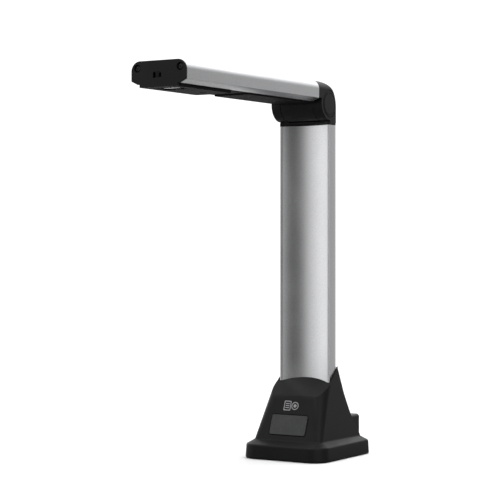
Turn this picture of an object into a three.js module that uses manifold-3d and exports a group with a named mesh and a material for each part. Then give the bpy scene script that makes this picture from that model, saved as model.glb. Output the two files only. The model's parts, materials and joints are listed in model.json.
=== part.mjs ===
// Desktop document camera: a folding camera arm on an aluminium mast with a weighted base.
// Millimetres. Origin on the table under the middle of the base. +Z is up, -Y is the front.
import * as THREE from "three";
import { mergeVertices } from "three/addons/utils/BufferGeometryUtils.js";
import Module from "manifold-3d";

const wasm = await Module();
wasm.setup();

// Driving dimensions
const BASE_HALF_WIDTH = 46.1;
const BASE_FRONT = -50.5;
const BASE_REAR = 50.5;
const SKIRT_BOTTOM = 0.6;
const SKIRT_TOP = 14.1;
const SHOULDER_Z = 18.5;
const SHOULDER_HALF_WIDTH = 39.5;
const SHOULDER_FRONT = -39.1;
const SHOULDER_REAR = 43;
const PANEL_LEAN = 0.366;
const SIDE_LEAN = 0.145;
const FRONT_TAPER = 0.0005;
const CORNER_RADIUS = 6.4;
const CORNER_GROWTH = 0.16;
const CREASE_Z = 60;
const BEVEL_TOP_Y = -3.4;
const BEVEL_TOP_Z = 74.2;
const WING_FOOT_Y = -0.5;
const WING_FOOT_Z = 77.2;
const WING_TIP_Y = 13;
const WING_TIP_Z = 89.6;
const REAR_SWEEP = [
  [11.6, 94], [14.2, 83], [16.4, 74], [19.4, 62], [23.8, 50], [26.4, 43.5], [32.6, 31], [41.6, 19.2],
];
const BODY_TOP = 100;
const SKIRT_DRAFT = 0.6;
const SHELL_WALL = 2.4;
const FIT_GAP = 0.25;
const BADGE_Z = 33.5;
const BADGE_HALF_WIDTH = 20;
const BADGE_HALF_HEIGHT = 10;
const BADGE_CORNER = 2.1;
const BADGE_DEPTH = 0.6;
const BADGE_GAP = 0.5;

const SOLE_THICKNESS = 1.2;
const BASE_PLATE_TOP = 4.2;
const BALLAST_TOP = 12.2;
const FOOT_FLANGE_TOP = 15;
const BOSS_RADIUS = 3.6;
const BOSS_TOP = 19;
const BOSS_PILOT_RADIUS = 1.3;
const HOUSING_HALF_WIDTH = 33.5;
const HOUSING_BOTTOM = 15;
const HOUSING_TOP = 39.3;
const HOUSING_FRONT = 26.1;
const HOUSING_REAR = 49.8;
const PORT_Z = 22.3;

const MAST_HALF_WIDTH = 28.4;
const MAST_FRONT = -3.2;
const MAST_REAR = 16.3;
const MAST_REAR_RADIUS = 8.5;
const MAST_TOP = 327.6;
const CHANNEL_HALF_WIDTH = 26;
const CHANNEL_DEPTH = 5.7;
const MAST_WALL = 1.8;
const MAST_PORT_X = 14;
const MAST_PORT_Y = 10.9;

const HINGE_Y = -2.6;
const HINGE_Z = 348;
const BARREL_RADIUS = 16.2;
const SLOT_RADIUS = 16.7;
const KNUCKLE_HALF_WIDTH = 18.2;
const SLOT_HALF_WIDTH = 18.5;
const COLLAR_TOP = 330.6;
const HEAD_HALF_WIDTH = 28.7;
const HEAD_FRONT = -23.6;
const NECK_FRONT = -1.9;
const CROWN_DEPTH = 29;
const CROWN_HEIGHT = 26;
const CROWN_FULLNESS = 2.3;
const UNDER_HEAD_Z = 352.8;
const COVER_RADIUS = 13.1;
const COVER_THICKNESS = 2.3;
const SHAFT_RADIUS = 4.05;
const SHAFT_BORE = 4.1;

const ARM_HALF_WIDTH = 29;
const ARM_TOP = 370;
const ARM_REAR = -24;
const ARM_FRONT = -252.7;
const CAP_FRONT = -254.1;
const ARM_CORNER = 9;
const ARM_WALL = 1.8;
const ARM_SIDE_BOTTOM = 352.6;
const ARM_LIP_X = 22.5;
const ARM_LIP_Z = 349.5;
const WEB_BOTTOM = 350.2;
const WEB_TOP = 351.8;
const PLATE_HALF_WIDTH = 19.9;
const PLATE_BOTTOM = 346.7;
const REAR_PLATE_BOTTOM = 347.9;
const CAMERA_PLATE_REAR = -166;
const REAR_PLATE_FRONT = -137;
const CAP_SCREW_X = 22.5;
const CAP_SCREW_Z = 363.6;
const LENS_Y = -233;
const CAMERA_PLATE_SCREW_Y = -185;
const REAR_PLATE_SCREW_YS = [-110, -60];
const LAMP_SIZE = 2.8;

// Half width and top of the cutting tools, past every surface they cut
const CUT_HALF_WIDTH = 60;
const CUT_TOP = 200;

// Finishes
const BLACK = { color: 0x1c1c1e, roughness: 0.5, metalness: 0 };
const DARK = { color: 0x2c2d30, roughness: 0.45, metalness: 0 };
const RUBBER = { color: 0x111111, roughness: 0.9, metalness: 0 };
const SILVER = { color: 0xc4c6c9, roughness: 0.35, metalness: 1 };
const STEEL = { color: 0x8d9094, roughness: 0.4, metalness: 1 };
const BOARD = { color: 0x14532d, roughness: 0.6, metalness: 0 };
const GLASS = { color: 0x9fb3bf, roughness: 0.05, metalness: 0 };
const WHITE = { color: 0xe8e8e2, roughness: 0.4, metalness: 0 };

// Geometry helpers
function toSolid(geometry) {
  const bare = new THREE.BufferGeometry();
  bare.setAttribute("position", geometry.getAttribute("position"));
  if (geometry.index) {
    bare.setIndex(geometry.index);
  }
  const merged = mergeVertices(bare, 1e-4);
  const vertProperties = new Float32Array(merged.attributes.position.array);
  const triVerts = new Uint32Array(merged.index.array);
  return new wasm.Manifold(new wasm.Mesh({ numProp: 3, vertProperties, triVerts }));
}

function toGeometry(solid) {
  const mesh = solid.getMesh();
  const geometry = new THREE.BufferGeometry();
  geometry.setAttribute("position", new THREE.BufferAttribute(mesh.vertProperties, 3));
  geometry.setIndex(new THREE.BufferAttribute(mesh.triVerts, 1));
  geometry.computeVertexNormals();
  return geometry;
}

function join(...solids) {
  return solids.reduce((sum, next) => sum.add(next));
}

function cut(solid, ...tools) {
  return tools.reduce((left, tool) => left.subtract(tool), solid);
}

// Prism of a 2-D outline. Along x the outline is (y, z), along y it is (x, z), along z it is (x, y).
function prism(outline, axis, from, to) {
  const shape = new THREE.Shape(outline.map(([u, v]) => new THREE.Vector2(u, v)));
  const geometry = new THREE.ExtrudeGeometry(shape, { depth: to - from, bevelEnabled: false });
  const place = new THREE.Matrix4();
  if (axis === "x") {
    place.set(0, 0, 1, from, 1, 0, 0, 0, 0, 1, 0, 0, 0, 0, 0, 1);
  } else if (axis === "y") {
    place.set(1, 0, 0, 0, 0, 0, -1, to, 0, 1, 0, 0, 0, 0, 0, 1);
  } else {
    place.set(1, 0, 0, 0, 0, 1, 0, 0, 0, 0, 1, from, 0, 0, 0, 1);
  }
  geometry.applyMatrix4(place);
  return toSolid(geometry);
}

function box(x0, x1, y0, y1, z0, z1) {
  return prism([[x0, y0], [x1, y0], [x1, y1], [x0, y1]], "z", z0, z1);
}

function arc(cu, cv, radius, startDegrees, endDegrees, steps) {
  const points = [];
  for (let i = 0; i <= steps; i += 1) {
    const angle = THREE.MathUtils.degToRad(startDegrees + ((endDegrees - startDegrees) * i) / steps);
    points.push([cu + radius * Math.cos(angle), cv + radius * Math.sin(angle)]);
  }
  return points;
}

function circle(cu, cv, radius, steps) {
  return arc(cu, cv, radius, 0, 360, steps).slice(0, -1);
}

function rod(axis, cu, cv, radius, from, to, steps = 24) {
  return prism(circle(cu, cv, radius, steps), axis, from, to);
}

// Rectangle with rounded corners: the first radius is for the low-v corners, the second for the high-v ones.
function roundedRect(u0, u1, v0, v1, lowRadius, highRadius = lowRadius, steps = 5) {
  return [
    ...arc(u0 + lowRadius, v0 + lowRadius, lowRadius, 180, 270, steps),
    ...arc(u1 - lowRadius, v0 + lowRadius, lowRadius, 270, 360, steps),
    ...arc(u1 - highRadius, v1 - highRadius, highRadius, 0, 90, steps),
    ...arc(u0 + highRadius, v1 - highRadius, highRadius, 90, 180, steps),
  ];
}

// Closed skin through horizontal convex rings that all have the same number of points.
function loft(levels) {
  const count = levels[0].outline.length;
  const positions = [];
  const index = [];
  for (const { outline, z } of levels) {
    for (const [x, y] of outline) {
      positions.push(x, y, z);
    }
  }
  for (let level = 0; level + 1 < levels.length; level += 1) {
    for (let i = 0; i < count; i += 1) {
      const a = level * count + i;
      const b = level * count + ((i + 1) % count);
      index.push(a, b, b + count, a, b + count, a + count);
    }
  }
  const top = (levels.length - 1) * count;
  for (let i = 1; i + 1 < count; i += 1) {
    index.push(0, i + 1, i);
    index.push(top, top + i, top + i + 1);
  }
  const geometry = new THREE.BufferGeometry();
  geometry.setAttribute("position", new THREE.Float32BufferAttribute(positions, 3));
  geometry.setIndex(index);
  return toSolid(geometry);
}

function flip(solid) {
  return solid.mirror([1, 0, 0]);
}

const model = new THREE.Group();
model.name = "document_camera";

function addPart(name, solid, finish) {
  const material = new THREE.MeshStandardMaterial(finish);
  material.name = name;
  const mesh = new THREE.Mesh(toGeometry(solid), material);
  mesh.name = name;
  model.add(mesh);
}

// Screw along an axis with a cross recess in its head. Direction +1 puts the tip at the high end.
function screw(axis, cu, cv, headAt, direction, headRadius, headHeight, shankRadius, length) {
  const headEnd = headAt + direction * headHeight;
  const tip = headEnd + direction * length;
  const span = (a, b) => [Math.min(a, b), Math.max(a, b)];
  const head = rod(axis, cu, cv, headRadius, ...span(headAt, headEnd), 16);
  const shank = rod(axis, cu, cv, shankRadius, ...span(headEnd - direction * 0.2, tip), 12);
  const arm = headRadius * 0.6;
  const slot = span(headAt - direction, headAt + direction * headHeight * 0.5);
  const half = 0.4;
  const bar = (w, h) => prism([[cu - w, cv - h], [cu + w, cv - h], [cu + w, cv + h], [cu - w, cv + h]],
    axis, ...slot);
  return cut(join(head, shank), bar(arm, half), bar(half, arm));
}

// Base shell outlines
function footprint(inset, shrink) {
  return roundedRect(
    -BASE_HALF_WIDTH + inset + shrink, BASE_HALF_WIDTH - inset - shrink,
    BASE_FRONT + inset + shrink, BASE_REAR - inset - shrink,
    16 - inset, 5 - Math.min(inset, 3), 8);
}

function bodyOutline(z, inset) {
  const rise = z - SHOULDER_Z;
  const half = SHOULDER_HALF_WIDTH - SIDE_LEAN * rise - inset;
  const front = SHOULDER_FRONT + PANEL_LEAN * rise + inset;
  const rear = SHOULDER_REAR - inset;
  const rearRadius = 4 - inset * 0.5;
  // The front corners open up as they rise.
  const radius = CORNER_RADIUS + CORNER_GROWTH * rise - inset * 0.8;
  const outline = [
    ...arc(radius - half, front + radius, radius, 180, 270, 8),
    ...arc(half - radius, front + radius, radius, 270, 360, 8),
    ...arc(half - rearRadius, rear - rearRadius, rearRadius, 0, 90, 8),
    ...arc(rearRadius - half, rear - rearRadius, rearRadius, 90, 180, 8),
  ];
  return outline.map(([x, y]) => [x * (1 - FRONT_TAPER * (rear - y)), y]);
}

function sweepCurve(offset) {
  const path = new THREE.SplineCurve(REAR_SWEEP.map(([y, z]) => new THREE.Vector2(y - offset, z)));
  return path.getPoints(14).map((point) => [point.x, point.y]);
}

function shellVolume(inset) {
  const low = loft([
    { outline: footprint(inset, 0), z: inset ? -2 : SKIRT_BOTTOM },
    { outline: footprint(inset, SKIRT_DRAFT), z: SKIRT_TOP - inset * 0.75 },
    { outline: bodyOutline(SHOULDER_Z, inset), z: SHOULDER_Z - inset * 0.75 },
    { outline: bodyOutline(BODY_TOP, inset), z: BODY_TOP },
  ]);
  const drop = inset * 1.25;
  const runBack = 10;
  const runFront = 40;
  const creaseY = SHOULDER_FRONT + PANEL_LEAN * (CREASE_Z - SHOULDER_Z);
  const bevelRise = (BEVEL_TOP_Z - CREASE_Z) / (BEVEL_TOP_Y - creaseY);
  const wingRise = (WING_TIP_Z - WING_FOOT_Z) / (WING_TIP_Y - WING_FOOT_Y);
  const bevelCutter = prism([
    [creaseY - runFront, CREASE_Z - runFront * bevelRise - drop],
    [BEVEL_TOP_Y, BEVEL_TOP_Z - drop],
    [WING_FOOT_Y, WING_FOOT_Z - drop],
    [WING_TIP_Y + runBack, WING_TIP_Z + runBack * wingRise - drop],
    [WING_TIP_Y + runBack, CUT_TOP],
    [creaseY - runFront, CUT_TOP],
  ], "x", -CUT_HALF_WIDTH, CUT_HALF_WIDTH);
  // Between the wings the bevel runs on at its own slope, into the hollow of the mast's front.
  const hollowHalf = CHANNEL_HALF_WIDTH + 0.5;
  const hollowReach = CHANNEL_DEPTH + 1.3;
  const middleCutter = prism([
    [BEVEL_TOP_Y - 1, BEVEL_TOP_Z - bevelRise - drop],
    [BEVEL_TOP_Y + hollowReach, BEVEL_TOP_Z + hollowReach * bevelRise - drop],
    [BEVEL_TOP_Y + hollowReach, CUT_TOP],
    [BEVEL_TOP_Y - 1, CUT_TOP],
  ], "x", -hollowHalf, hollowHalf);
  const curve = sweepCurve(inset);
  const sweepFoot = REAR_SWEEP.at(-1)[1];
  const behind = BASE_REAR + 30;
  const rearCutter = prism(
    [...curve, [behind, sweepFoot], [behind, CUT_TOP], [curve[0][0], CUT_TOP]],
    "x", -CUT_HALF_WIDTH, CUT_HALF_WIDTH);
  return cut(low, bevelCutter, middleCutter, rearCutter);
}

// Mast section
function channelArc(y0, halfWidth, depth, steps) {
  const radius = (halfWidth * halfWidth + depth * depth) / (2 * depth);
  const swing = THREE.MathUtils.radToDeg(Math.asin(halfWidth / radius));
  return arc(0, y0 + depth - radius, radius, 90 - swing, 90 + swing, steps);
}

function mastOutline(grow) {
  const half = MAST_HALF_WIDTH + grow;
  const front = MAST_FRONT - grow;
  const rear = MAST_REAR + grow;
  const radius = MAST_REAR_RADIUS + grow;
  return [
    ...channelArc(front, CHANNEL_HALF_WIDTH - grow, CHANNEL_DEPTH, 14).reverse(),
    [half - 0.8, front],
    [half, front + 0.8],
    ...arc(half - radius, rear - radius, radius, 0, 90, 6),
    ...arc(radius - half, rear - radius, radius, 90, 180, 6),
    [-half, front + 0.8],
    [0.8 - half, front],
  ];
}

function mastHollow() {
  const half = MAST_HALF_WIDTH - MAST_WALL;
  const front = MAST_FRONT + MAST_WALL;
  const rear = MAST_REAR - MAST_WALL;
  const radius = MAST_REAR_RADIUS - MAST_WALL;
  return [
    ...channelArc(front, CHANNEL_HALF_WIDTH - 1, CHANNEL_DEPTH, 12).reverse(),
    [half, front],
    ...arc(half - radius, rear - radius, radius, 0, 90, 5),
    ...arc(radius - half, rear - radius, radius, 90, 180, 5),
    [-half, front],
  ];
}

// Weighted base
const shellBody = shellVolume(0);
const bossSpots = [[-36.5, -32], [36.5, -32], [-37.5, 40], [37.5, 40]];
let shell = cut(shellBody, shellVolume(SHELL_WALL));
for (const [x, y] of bossSpots) {
  shell = shell.add(rod("z", x, y, BOSS_RADIUS, BASE_PLATE_TOP, BOSS_TOP, 16).intersect(shellBody));
}
for (const [x, y] of bossSpots) {
  shell = shell.subtract(rod("z", x, y, BOSS_PILOT_RADIUS, 0, BOSS_TOP - 5, 12));
}
const housingOutline = (grow) => roundedRect(
  -HOUSING_HALF_WIDTH - grow, HOUSING_HALF_WIDTH + grow, HOUSING_BOTTOM - grow, HOUSING_TOP + grow, 1, 3, 4);
const mastSlot = prism(mastOutline(FIT_GAP), "z", 10, 120);
const rearRelief = box(-28.65, 28.65, 12, 30, 64, 120);
const housingHole = prism(housingOutline(0.1), "y", 26, 60);
shell = cut(shell, mastSlot, rearRelief, housingHole);

// The badge lies in a shallow recess on the leaning front panel.
const panelLength = Math.hypot(PANEL_LEAN, 1);
function onPanel(solid, height) {
  const rise = height - SHOULDER_Z;
  const up = [0, PANEL_LEAN / panelLength, 1 / panelLength];
  const out = [0, -1 / panelLength, PANEL_LEAN / panelLength];
  const at = [0, SHOULDER_FRONT + PANEL_LEAN * rise, height];
  return solid.transform([1, 0, 0, 0, ...up, 0, ...out, 0, ...at, 1]);
}
const badgeOutline = (grow) => roundedRect(
  -BADGE_HALF_WIDTH - grow, BADGE_HALF_WIDTH + grow, -BADGE_HALF_HEIGHT - grow, BADGE_HALF_HEIGHT + grow,
  BADGE_CORNER + grow);
const badgeRecess = prism(badgeOutline(BADGE_GAP), "z", -BADGE_DEPTH, 3);
const badge = prism(badgeOutline(0), "z", -BADGE_DEPTH, BADGE_DEPTH);
shell = shell.subtract(onPanel(badgeRecess, BADGE_Z));
addPart("base_shell", shell, BLACK);
addPart("badge_plate", onPanel(badge, BADGE_Z), DARK);

const soleOutline = roundedRect(-43, 43, -47.4, 47.4, 13, 2.4, 6);
addPart("rubber_sole", prism(soleOutline, "z", 0, SOLE_THICKNESS), RUBBER);
let basePlate = prism(soleOutline, "z", SOLE_THICKNESS, BASE_PLATE_TOP);
for (const [x, y] of bossSpots) {
  basePlate = cut(basePlate, rod("z", x, y, 3.2, 1, 2.9, 16), rod("z", x, y, 1.7, 1, 5, 12));
}
addPart("base_plate", basePlate, STEEL);
bossSpots.forEach(([x, y], i) => {
  addPart(`base_screw_${i + 1}`, screw("z", x, y, 1.3, 1, 2.9, 1.5, 1.2, 9), STEEL);
});

const footScrewSpots = [[-32.4, 6], [32.4, 6]];
let ballast = prism(roundedRect(-31.5, 31.5, -24, 45, 4), "z", BASE_PLATE_TOP, BALLAST_TOP);
ballast = join(ballast, box(-38, 38, -2, 14, BASE_PLATE_TOP, BALLAST_TOP));
for (const [x, y] of footScrewSpots) {
  ballast = ballast.subtract(rod("z", x, y, 1.65, 5.5, 13, 12));
}
addPart("ballast_weight", ballast, STEEL);

let foot = prism(roundedRect(-36.5, 36.5, -4, 16.3, 3), "z", BALLAST_TOP, FOOT_FLANGE_TOP);
for (const side of [1, -1]) {
  const inner = box(3.2, 9.8, 6.5, 13.8, FOOT_FLANGE_TOP - 0.5, 36);
  const outer = box(18.2, 23.5, 3.5, 11, FOOT_FLANGE_TOP - 0.5, 36);
  const pair = join(inner, outer);
  foot = foot.add(side > 0 ? pair : flip(pair));
}
for (const [x, y] of footScrewSpots) {
  foot = foot.subtract(rod("z", x, y, 1.9, 10, 20, 12));
}
addPart("mast_foot", foot, STEEL);
footScrewSpots.forEach(([x, y], i) => {
  const side = i === 0 ? "left" : "right";
  addPart(`foot_screw_${side}`, screw("z", x, y, FOOT_FLANGE_TOP + 2.1, -1, 3, 2, 1.6, 9), STEEL);
});

// Rear port housing with the signal board
let housing = prism(housingOutline(0), "y", HOUSING_FRONT, HOUSING_REAR);
housing = cut(housing, box(-31.3, 31.3, 20, 47.6, 10, 37.1));
housing = cut(housing, prism(roundedRect(-4.7, 4.7, PORT_Z - 1.8, PORT_Z + 1.8, 1.75), "y", 45, 52));
addPart("port_housing", housing, BLACK);

const boardBottom = 19;
const boardTop = 20.6;
let mainBoard = box(-27, 27, 20.5, 46.6, boardBottom, boardTop);
for (const [x, y] of [[-24, 24], [24, 24], [-24, 37], [24, 37]]) {
  mainBoard = mainBoard.add(rod("z", x, y, 2.2, BALLAST_TOP, boardBottom + 0.2, 10));
}
mainBoard = join(
  mainBoard,
  box(8, 17, 26, 35, boardTop - 0.2, 21.8),
  box(-18, -12, 28, 34, boardTop - 0.2, 22.2),
  box(-3.5, 3.5, 21.5, 25.5, boardTop - 0.2, 24.2),
);
addPart("main_board", mainBoard, BOARD);

let socket = prism(roundedRect(-4.47, 4.47, boardTop, boardTop + 3.2, 1.5), "y", 41.5, 49.2);
socket = cut(socket, prism(roundedRect(-4.17, 4.17, boardTop + 0.3, boardTop + 2.9, 1.25), "y", 43, 52));
socket = socket.add(box(-3.35, 3.35, 42.5, 48.4, PORT_Z - 0.35, PORT_Z + 0.35));
addPart("usb_socket", socket, STEEL);

// Mast
let mast = prism(mastOutline(0), "z", FOOT_FLANGE_TOP, MAST_TOP);
mast = mast.subtract(prism(mastHollow(), "z", 0, 400));
for (const x of [-MAST_PORT_X, MAST_PORT_X]) {
  const port = rod("z", x, MAST_PORT_Y, 3.7, FOOT_FLANGE_TOP, MAST_TOP, 14);
  mast = mast.add(port);
}
for (const x of [-MAST_PORT_X, MAST_PORT_X]) {
  mast = mast.subtract(rod("z", x, MAST_PORT_Y, 1.5, 0, 400, 10));
}
mast = mast.subtract(box(-3, 3, 12, 20, 24, 36));
addPart("mast_extrusion", mast, SILVER);

// Mast head: collar, two ears around the arm's knuckle, rear wall and roof
function headOutline(z) {
  const rise = Math.max(0, z - (ARM_TOP - ARM_CORNER));
  const half = HEAD_HALF_WIDTH - ARM_CORNER + Math.sqrt(ARM_CORNER ** 2 - rise ** 2);
  const climb = Math.min(1, Math.max(0, (z - (ARM_TOP - CROWN_HEIGHT)) / CROWN_HEIGHT));
  const rear = MAST_REAR - CROWN_DEPTH * (1 - (1 - climb ** CROWN_FULLNESS) ** (1 / CROWN_FULLNESS));
  return roundedRect(-half, half, HEAD_FRONT, rear, 0.2, MAST_REAR_RADIUS, 8);
}
const headLevels = [COLLAR_TOP - 1, ARM_TOP - CROWN_HEIGHT];
for (let i = 1; i <= 12; i += 1) {
  headLevels.push(ARM_TOP - CROWN_HEIGHT + CROWN_HEIGHT * Math.sin((Math.PI / 2) * (i / 12)));
}
const headBlock = loft(headLevels.map((z) => ({ outline: headOutline(z), z })));
const underHead = [
  [-60, 300],
  [NECK_FRONT, 300],
  [NECK_FRONT, 335],
  [HINGE_Y - 6, 345],
  [HINGE_Y - 8, UNDER_HEAD_Z],
  [-60, UNDER_HEAD_Z],
];
const earDisc = rod("x", HINGE_Y, HINGE_Z, BARREL_RADIUS, -HEAD_HALF_WIDTH, HEAD_HALF_WIDTH, 48)
  .intersect(box(-60, 60, -60, HINGE_Y + 2, 300, UNDER_HEAD_Z + 1));
const underCutter = prism(underHead, "x", -CUT_HALF_WIDTH, CUT_HALF_WIDTH);
const ears = join(cut(headBlock, underCutter), earDisc);
let head = ears.add(prism(mastOutline(0), "z", MAST_TOP, COLLAR_TOP));
for (const side of [1, -1]) {
  const inner = box(3.6, 9.8, 7, 13.8, 315, MAST_TOP + 0.5);
  const outer = box(18.2, 23.5, 3.5, 11, 315, MAST_TOP + 0.5);
  const pair = join(inner, outer);
  head = head.add(side > 0 ? pair : flip(pair));
}
head = cut(
  head,
  rod("x", HINGE_Y, HINGE_Z, SLOT_RADIUS, -SLOT_HALF_WIDTH, SLOT_HALF_WIDTH, 64),
  box(-SLOT_HALF_WIDTH, SLOT_HALF_WIDTH, -60, HINGE_Y, COLLAR_TOP, HINGE_Z + SLOT_RADIUS),
  rod("z", 0, 9.2, 2.6, 310, 345, 14),
);
for (const x of [-MAST_PORT_X, MAST_PORT_X]) {
  const screwHead = rod("z", x, MAST_PORT_Y, 3.2, 329.2, 347, 16);
  const screwHole = rod("z", x, MAST_PORT_Y, 1.8, 320, 340, 12);
  head = cut(head, screwHead, screwHole);
}
for (const side of [1, -1]) {
  const recess = join(
    rod("x", HINGE_Y, HINGE_Z, COVER_RADIUS + 0.2, HEAD_HALF_WIDTH - COVER_THICKNESS, 40, 40),
    rod("x", HINGE_Y, HINGE_Z, 9, 22, 40, 32),
    rod("x", HINGE_Y, HINGE_Z, SHAFT_BORE, 10, 40, 32),
  );
  head = head.subtract(side > 0 ? recess : flip(recess));
}
addPart("mast_head", head, BLACK);
[-1, 1].forEach((side) => {
  const name = side < 0 ? "left" : "right";
  const fastener = screw("z", side * MAST_PORT_X, MAST_PORT_Y, 331.2, -1, 2.9, 1.9, 1.4, 14);
  addPart(`head_screw_${name}`, fastener, STEEL);
});

// Signal cable up the mast
const mastCablePath = new THREE.CatmullRomCurve3([
  new THREE.Vector3(0, 23.5, 25.8),
  new THREE.Vector3(0, 20.5, 28.6),
  new THREE.Vector3(0, 14, 30.5),
  new THREE.Vector3(0, 9.4, 36),
  new THREE.Vector3(0, 9.2, 60),
  new THREE.Vector3(0, 9.2, 200),
  new THREE.Vector3(0, 9.2, 330),
]);
const cableShape = new THREE.Shape(circle(0, 0, 1.4, 8).map(([u, v]) => new THREE.Vector2(u, v)));
const mastCable = new THREE.ExtrudeGeometry(cableShape, { steps: 26, extrudePath: mastCablePath });
addPart("mast_cable", toSolid(mastCable), BLACK);

// Hinge hardware
const shaft = join(
  rod("x", HINGE_Y, HINGE_Z, 7, -25.6, -22.1, 24),
  rod("x", HINGE_Y, HINGE_Z, SHAFT_RADIUS, -22.3, 22, 32),
  rod("x", HINGE_Y, HINGE_Z, 3, 21.8, 26, 20),
);
addPart("hinge_shaft", shaft, STEEL);
const springWasher = rod("x", HINGE_Y, HINGE_Z, 7.8, 22.05, 23.3, 28)
  .subtract(rod("x", HINGE_Y, HINGE_Z, 3.3, 20, 30, 20));
addPart("spring_washer", springWasher, STEEL);
const hingeNut = rod("x", HINGE_Y, HINGE_Z, 7, 23.35, 25.9, 6)
  .subtract(rod("x", HINGE_Y, HINGE_Z, 3.1, 20, 30, 20));
addPart("hinge_nut", hingeNut, STEEL);
[-1, 1].forEach((side) => {
  const name = side < 0 ? "left" : "right";
  const washer = rod("x", HINGE_Y, HINGE_Z, 9, 17.05, 18.45, 28)
    .subtract(rod("x", HINGE_Y, HINGE_Z, SHAFT_BORE + 0.1, 0, 30, 28));
  const coverEdge = HEAD_HALF_WIDTH;
  const cover = join(
    rod("x", HINGE_Y, HINGE_Z, COVER_RADIUS, coverEdge - COVER_THICKNESS + 0.05, coverEdge - 0.4, 40),
    rod("x", HINGE_Y, HINGE_Z, COVER_RADIUS - 0.5, coverEdge - 0.5, coverEdge, 40),
  );
  addPart(`friction_washer_${name}`, side > 0 ? washer : flip(washer), DARK);
  addPart(`hinge_cover_${name}`, side > 0 ? cover : flip(cover), BLACK);
});

// Arm
function armOuter(bottomHalf, bottomZ) {
  return [
    [bottomHalf, bottomZ],
    [bottomHalf, ARM_LIP_Z],
    [ARM_LIP_X, ARM_LIP_Z],
    [ARM_HALF_WIDTH, ARM_SIDE_BOTTOM],
    ...arc(ARM_HALF_WIDTH - ARM_CORNER, ARM_TOP - ARM_CORNER, ARM_CORNER, 0, 90, 7),
    ...arc(ARM_CORNER - ARM_HALF_WIDTH, ARM_TOP - ARM_CORNER, ARM_CORNER, 90, 180, 7),
    [-ARM_HALF_WIDTH, ARM_SIDE_BOTTOM],
    [-ARM_LIP_X, ARM_LIP_Z],
    [-bottomHalf, ARM_LIP_Z],
    [-bottomHalf, bottomZ],
  ];
}

function armHollow(gap) {
  const half = ARM_HALF_WIDTH - ARM_WALL - gap;
  const top = ARM_TOP - ARM_WALL - gap;
  const radius = ARM_CORNER - ARM_WALL;
  return [
    [ARM_LIP_X - 0.6, WEB_TOP + gap],
    [half, ARM_SIDE_BOTTOM + 1.9 + gap * 0.5],
    ...arc(half - radius, top - radius, radius, 0, 90, 6),
    ...arc(radius - half, top - radius, radius, 90, 180, 6),
    [-half, ARM_SIDE_BOTTOM + 1.9 + gap * 0.5],
    [0.6 - ARM_LIP_X, WEB_TOP + gap],
  ];
}

const troughHalf = PLATE_HALF_WIDTH + 0.5;
let arm = prism(armOuter(troughHalf, WEB_BOTTOM - 0.001), "y", ARM_FRONT, ARM_REAR);
arm = cut(arm, box(-troughHalf, troughHalf, -300, 0, 340, WEB_BOTTOM), prism(armHollow(0), "y", -300, 0));
for (const x of [-CAP_SCREW_X, CAP_SCREW_X]) {
  arm = arm.add(rod("y", x, CAP_SCREW_Z, 3.7, ARM_FRONT, ARM_REAR, 14));
}
for (const x of [-CAP_SCREW_X, CAP_SCREW_X]) {
  const screwHole = rod("y", x, CAP_SCREW_Z, 1.25, -300, 0, 10);
  const recess = rod("y", x, CAP_SCREW_Z, 4.4, -300, ARM_FRONT + 2.6, 20);
  arm = cut(arm, screwHole, recess);
}
arm = arm.subtract(box(-16, 16, LENS_Y - 12, LENS_Y + 13, 345, 353));
for (const y of [...REAR_PLATE_SCREW_YS, CAMERA_PLATE_SCREW_Y]) {
  arm = arm.subtract(rod("z", 0, y, 1.3, 345, 353, 10));
}
addPart("arm_extrusion", arm, SILVER);

// Knuckle on the arm that turns between the ears
const plugOutline = armHollow(0.3);
let knuckle = join(
  rod("x", HINGE_Y, HINGE_Z, BARREL_RADIUS, -KNUCKLE_HALF_WIDTH, KNUCKLE_HALF_WIDTH, 56),
  box(-KNUCKLE_HALF_WIDTH, KNUCKLE_HALF_WIDTH, ARM_REAR + 0.3, HINGE_Y, WEB_BOTTOM + 0.1, 364),
  prism(plugOutline, "y", -46, ARM_REAR + 0.3).intersect(box(-60, 60, -60, 0, 340, 366)),
);
for (const x of [-CAP_SCREW_X, CAP_SCREW_X]) {
  knuckle = knuckle.subtract(rod("y", x, CAP_SCREW_Z, 4, -60, -23, 16));
}
knuckle = cut(
  knuckle,
  rod("x", HINGE_Y, HINGE_Z, SHAFT_BORE, -40, 40, 32),
  rod("x", HINGE_Y, HINGE_Z, 9.2, 17, 30, 28),
  rod("x", HINGE_Y, HINGE_Z, 9.2, -30, -17, 28),
  box(-3.6, 3.6, -60, 20, 353.6, 357.4),
);
addPart("arm_knuckle", knuckle, BLACK);

// Front end cap, its screws and the lamp switch
const slotLeft = -5.8;
const slotRight = 2.9;
const slotLow = 354.7;
const slotHigh = 359.9;
let frontCap = prism(armOuter(20.3, PLATE_BOTTOM), "y", CAP_FRONT, ARM_FRONT);
for (const side of [1, -1]) {
  const block = box(12, 26, ARM_FRONT - 0.5, -246, 355.5, 359.5);
  frontCap = frontCap.add(side > 0 ? block : flip(block));
}
for (const x of [-CAP_SCREW_X, CAP_SCREW_X]) {
  frontCap = frontCap.add(rod("y", x, CAP_SCREW_Z, 4.1, ARM_FRONT - 0.5, ARM_FRONT + 2.4, 20));
  frontCap = cut(
    frontCap,
    rod("y", x, CAP_SCREW_Z, 3.5, -260, ARM_FRONT + 1.2, 20),
    rod("y", x, CAP_SCREW_Z, 1.5, -260, -240, 12),
  );
}
frontCap = frontCap.subtract(box(slotLeft, slotRight, -260, -250, slotLow, slotHigh));
addPart("front_cap", frontCap, BLACK);
[-1, 1].forEach((side) => {
  const name = side < 0 ? "left" : "right";
  const fastener = screw("y", side * CAP_SCREW_X, CAP_SCREW_Z, ARM_FRONT - 0.3, 1, 2.9, 1.45, 1.15, 11);
  addPart(`cap_screw_${name}`, fastener, STEEL);
});
const slotMiddle = (slotLeft + slotRight) / 2;
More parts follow.
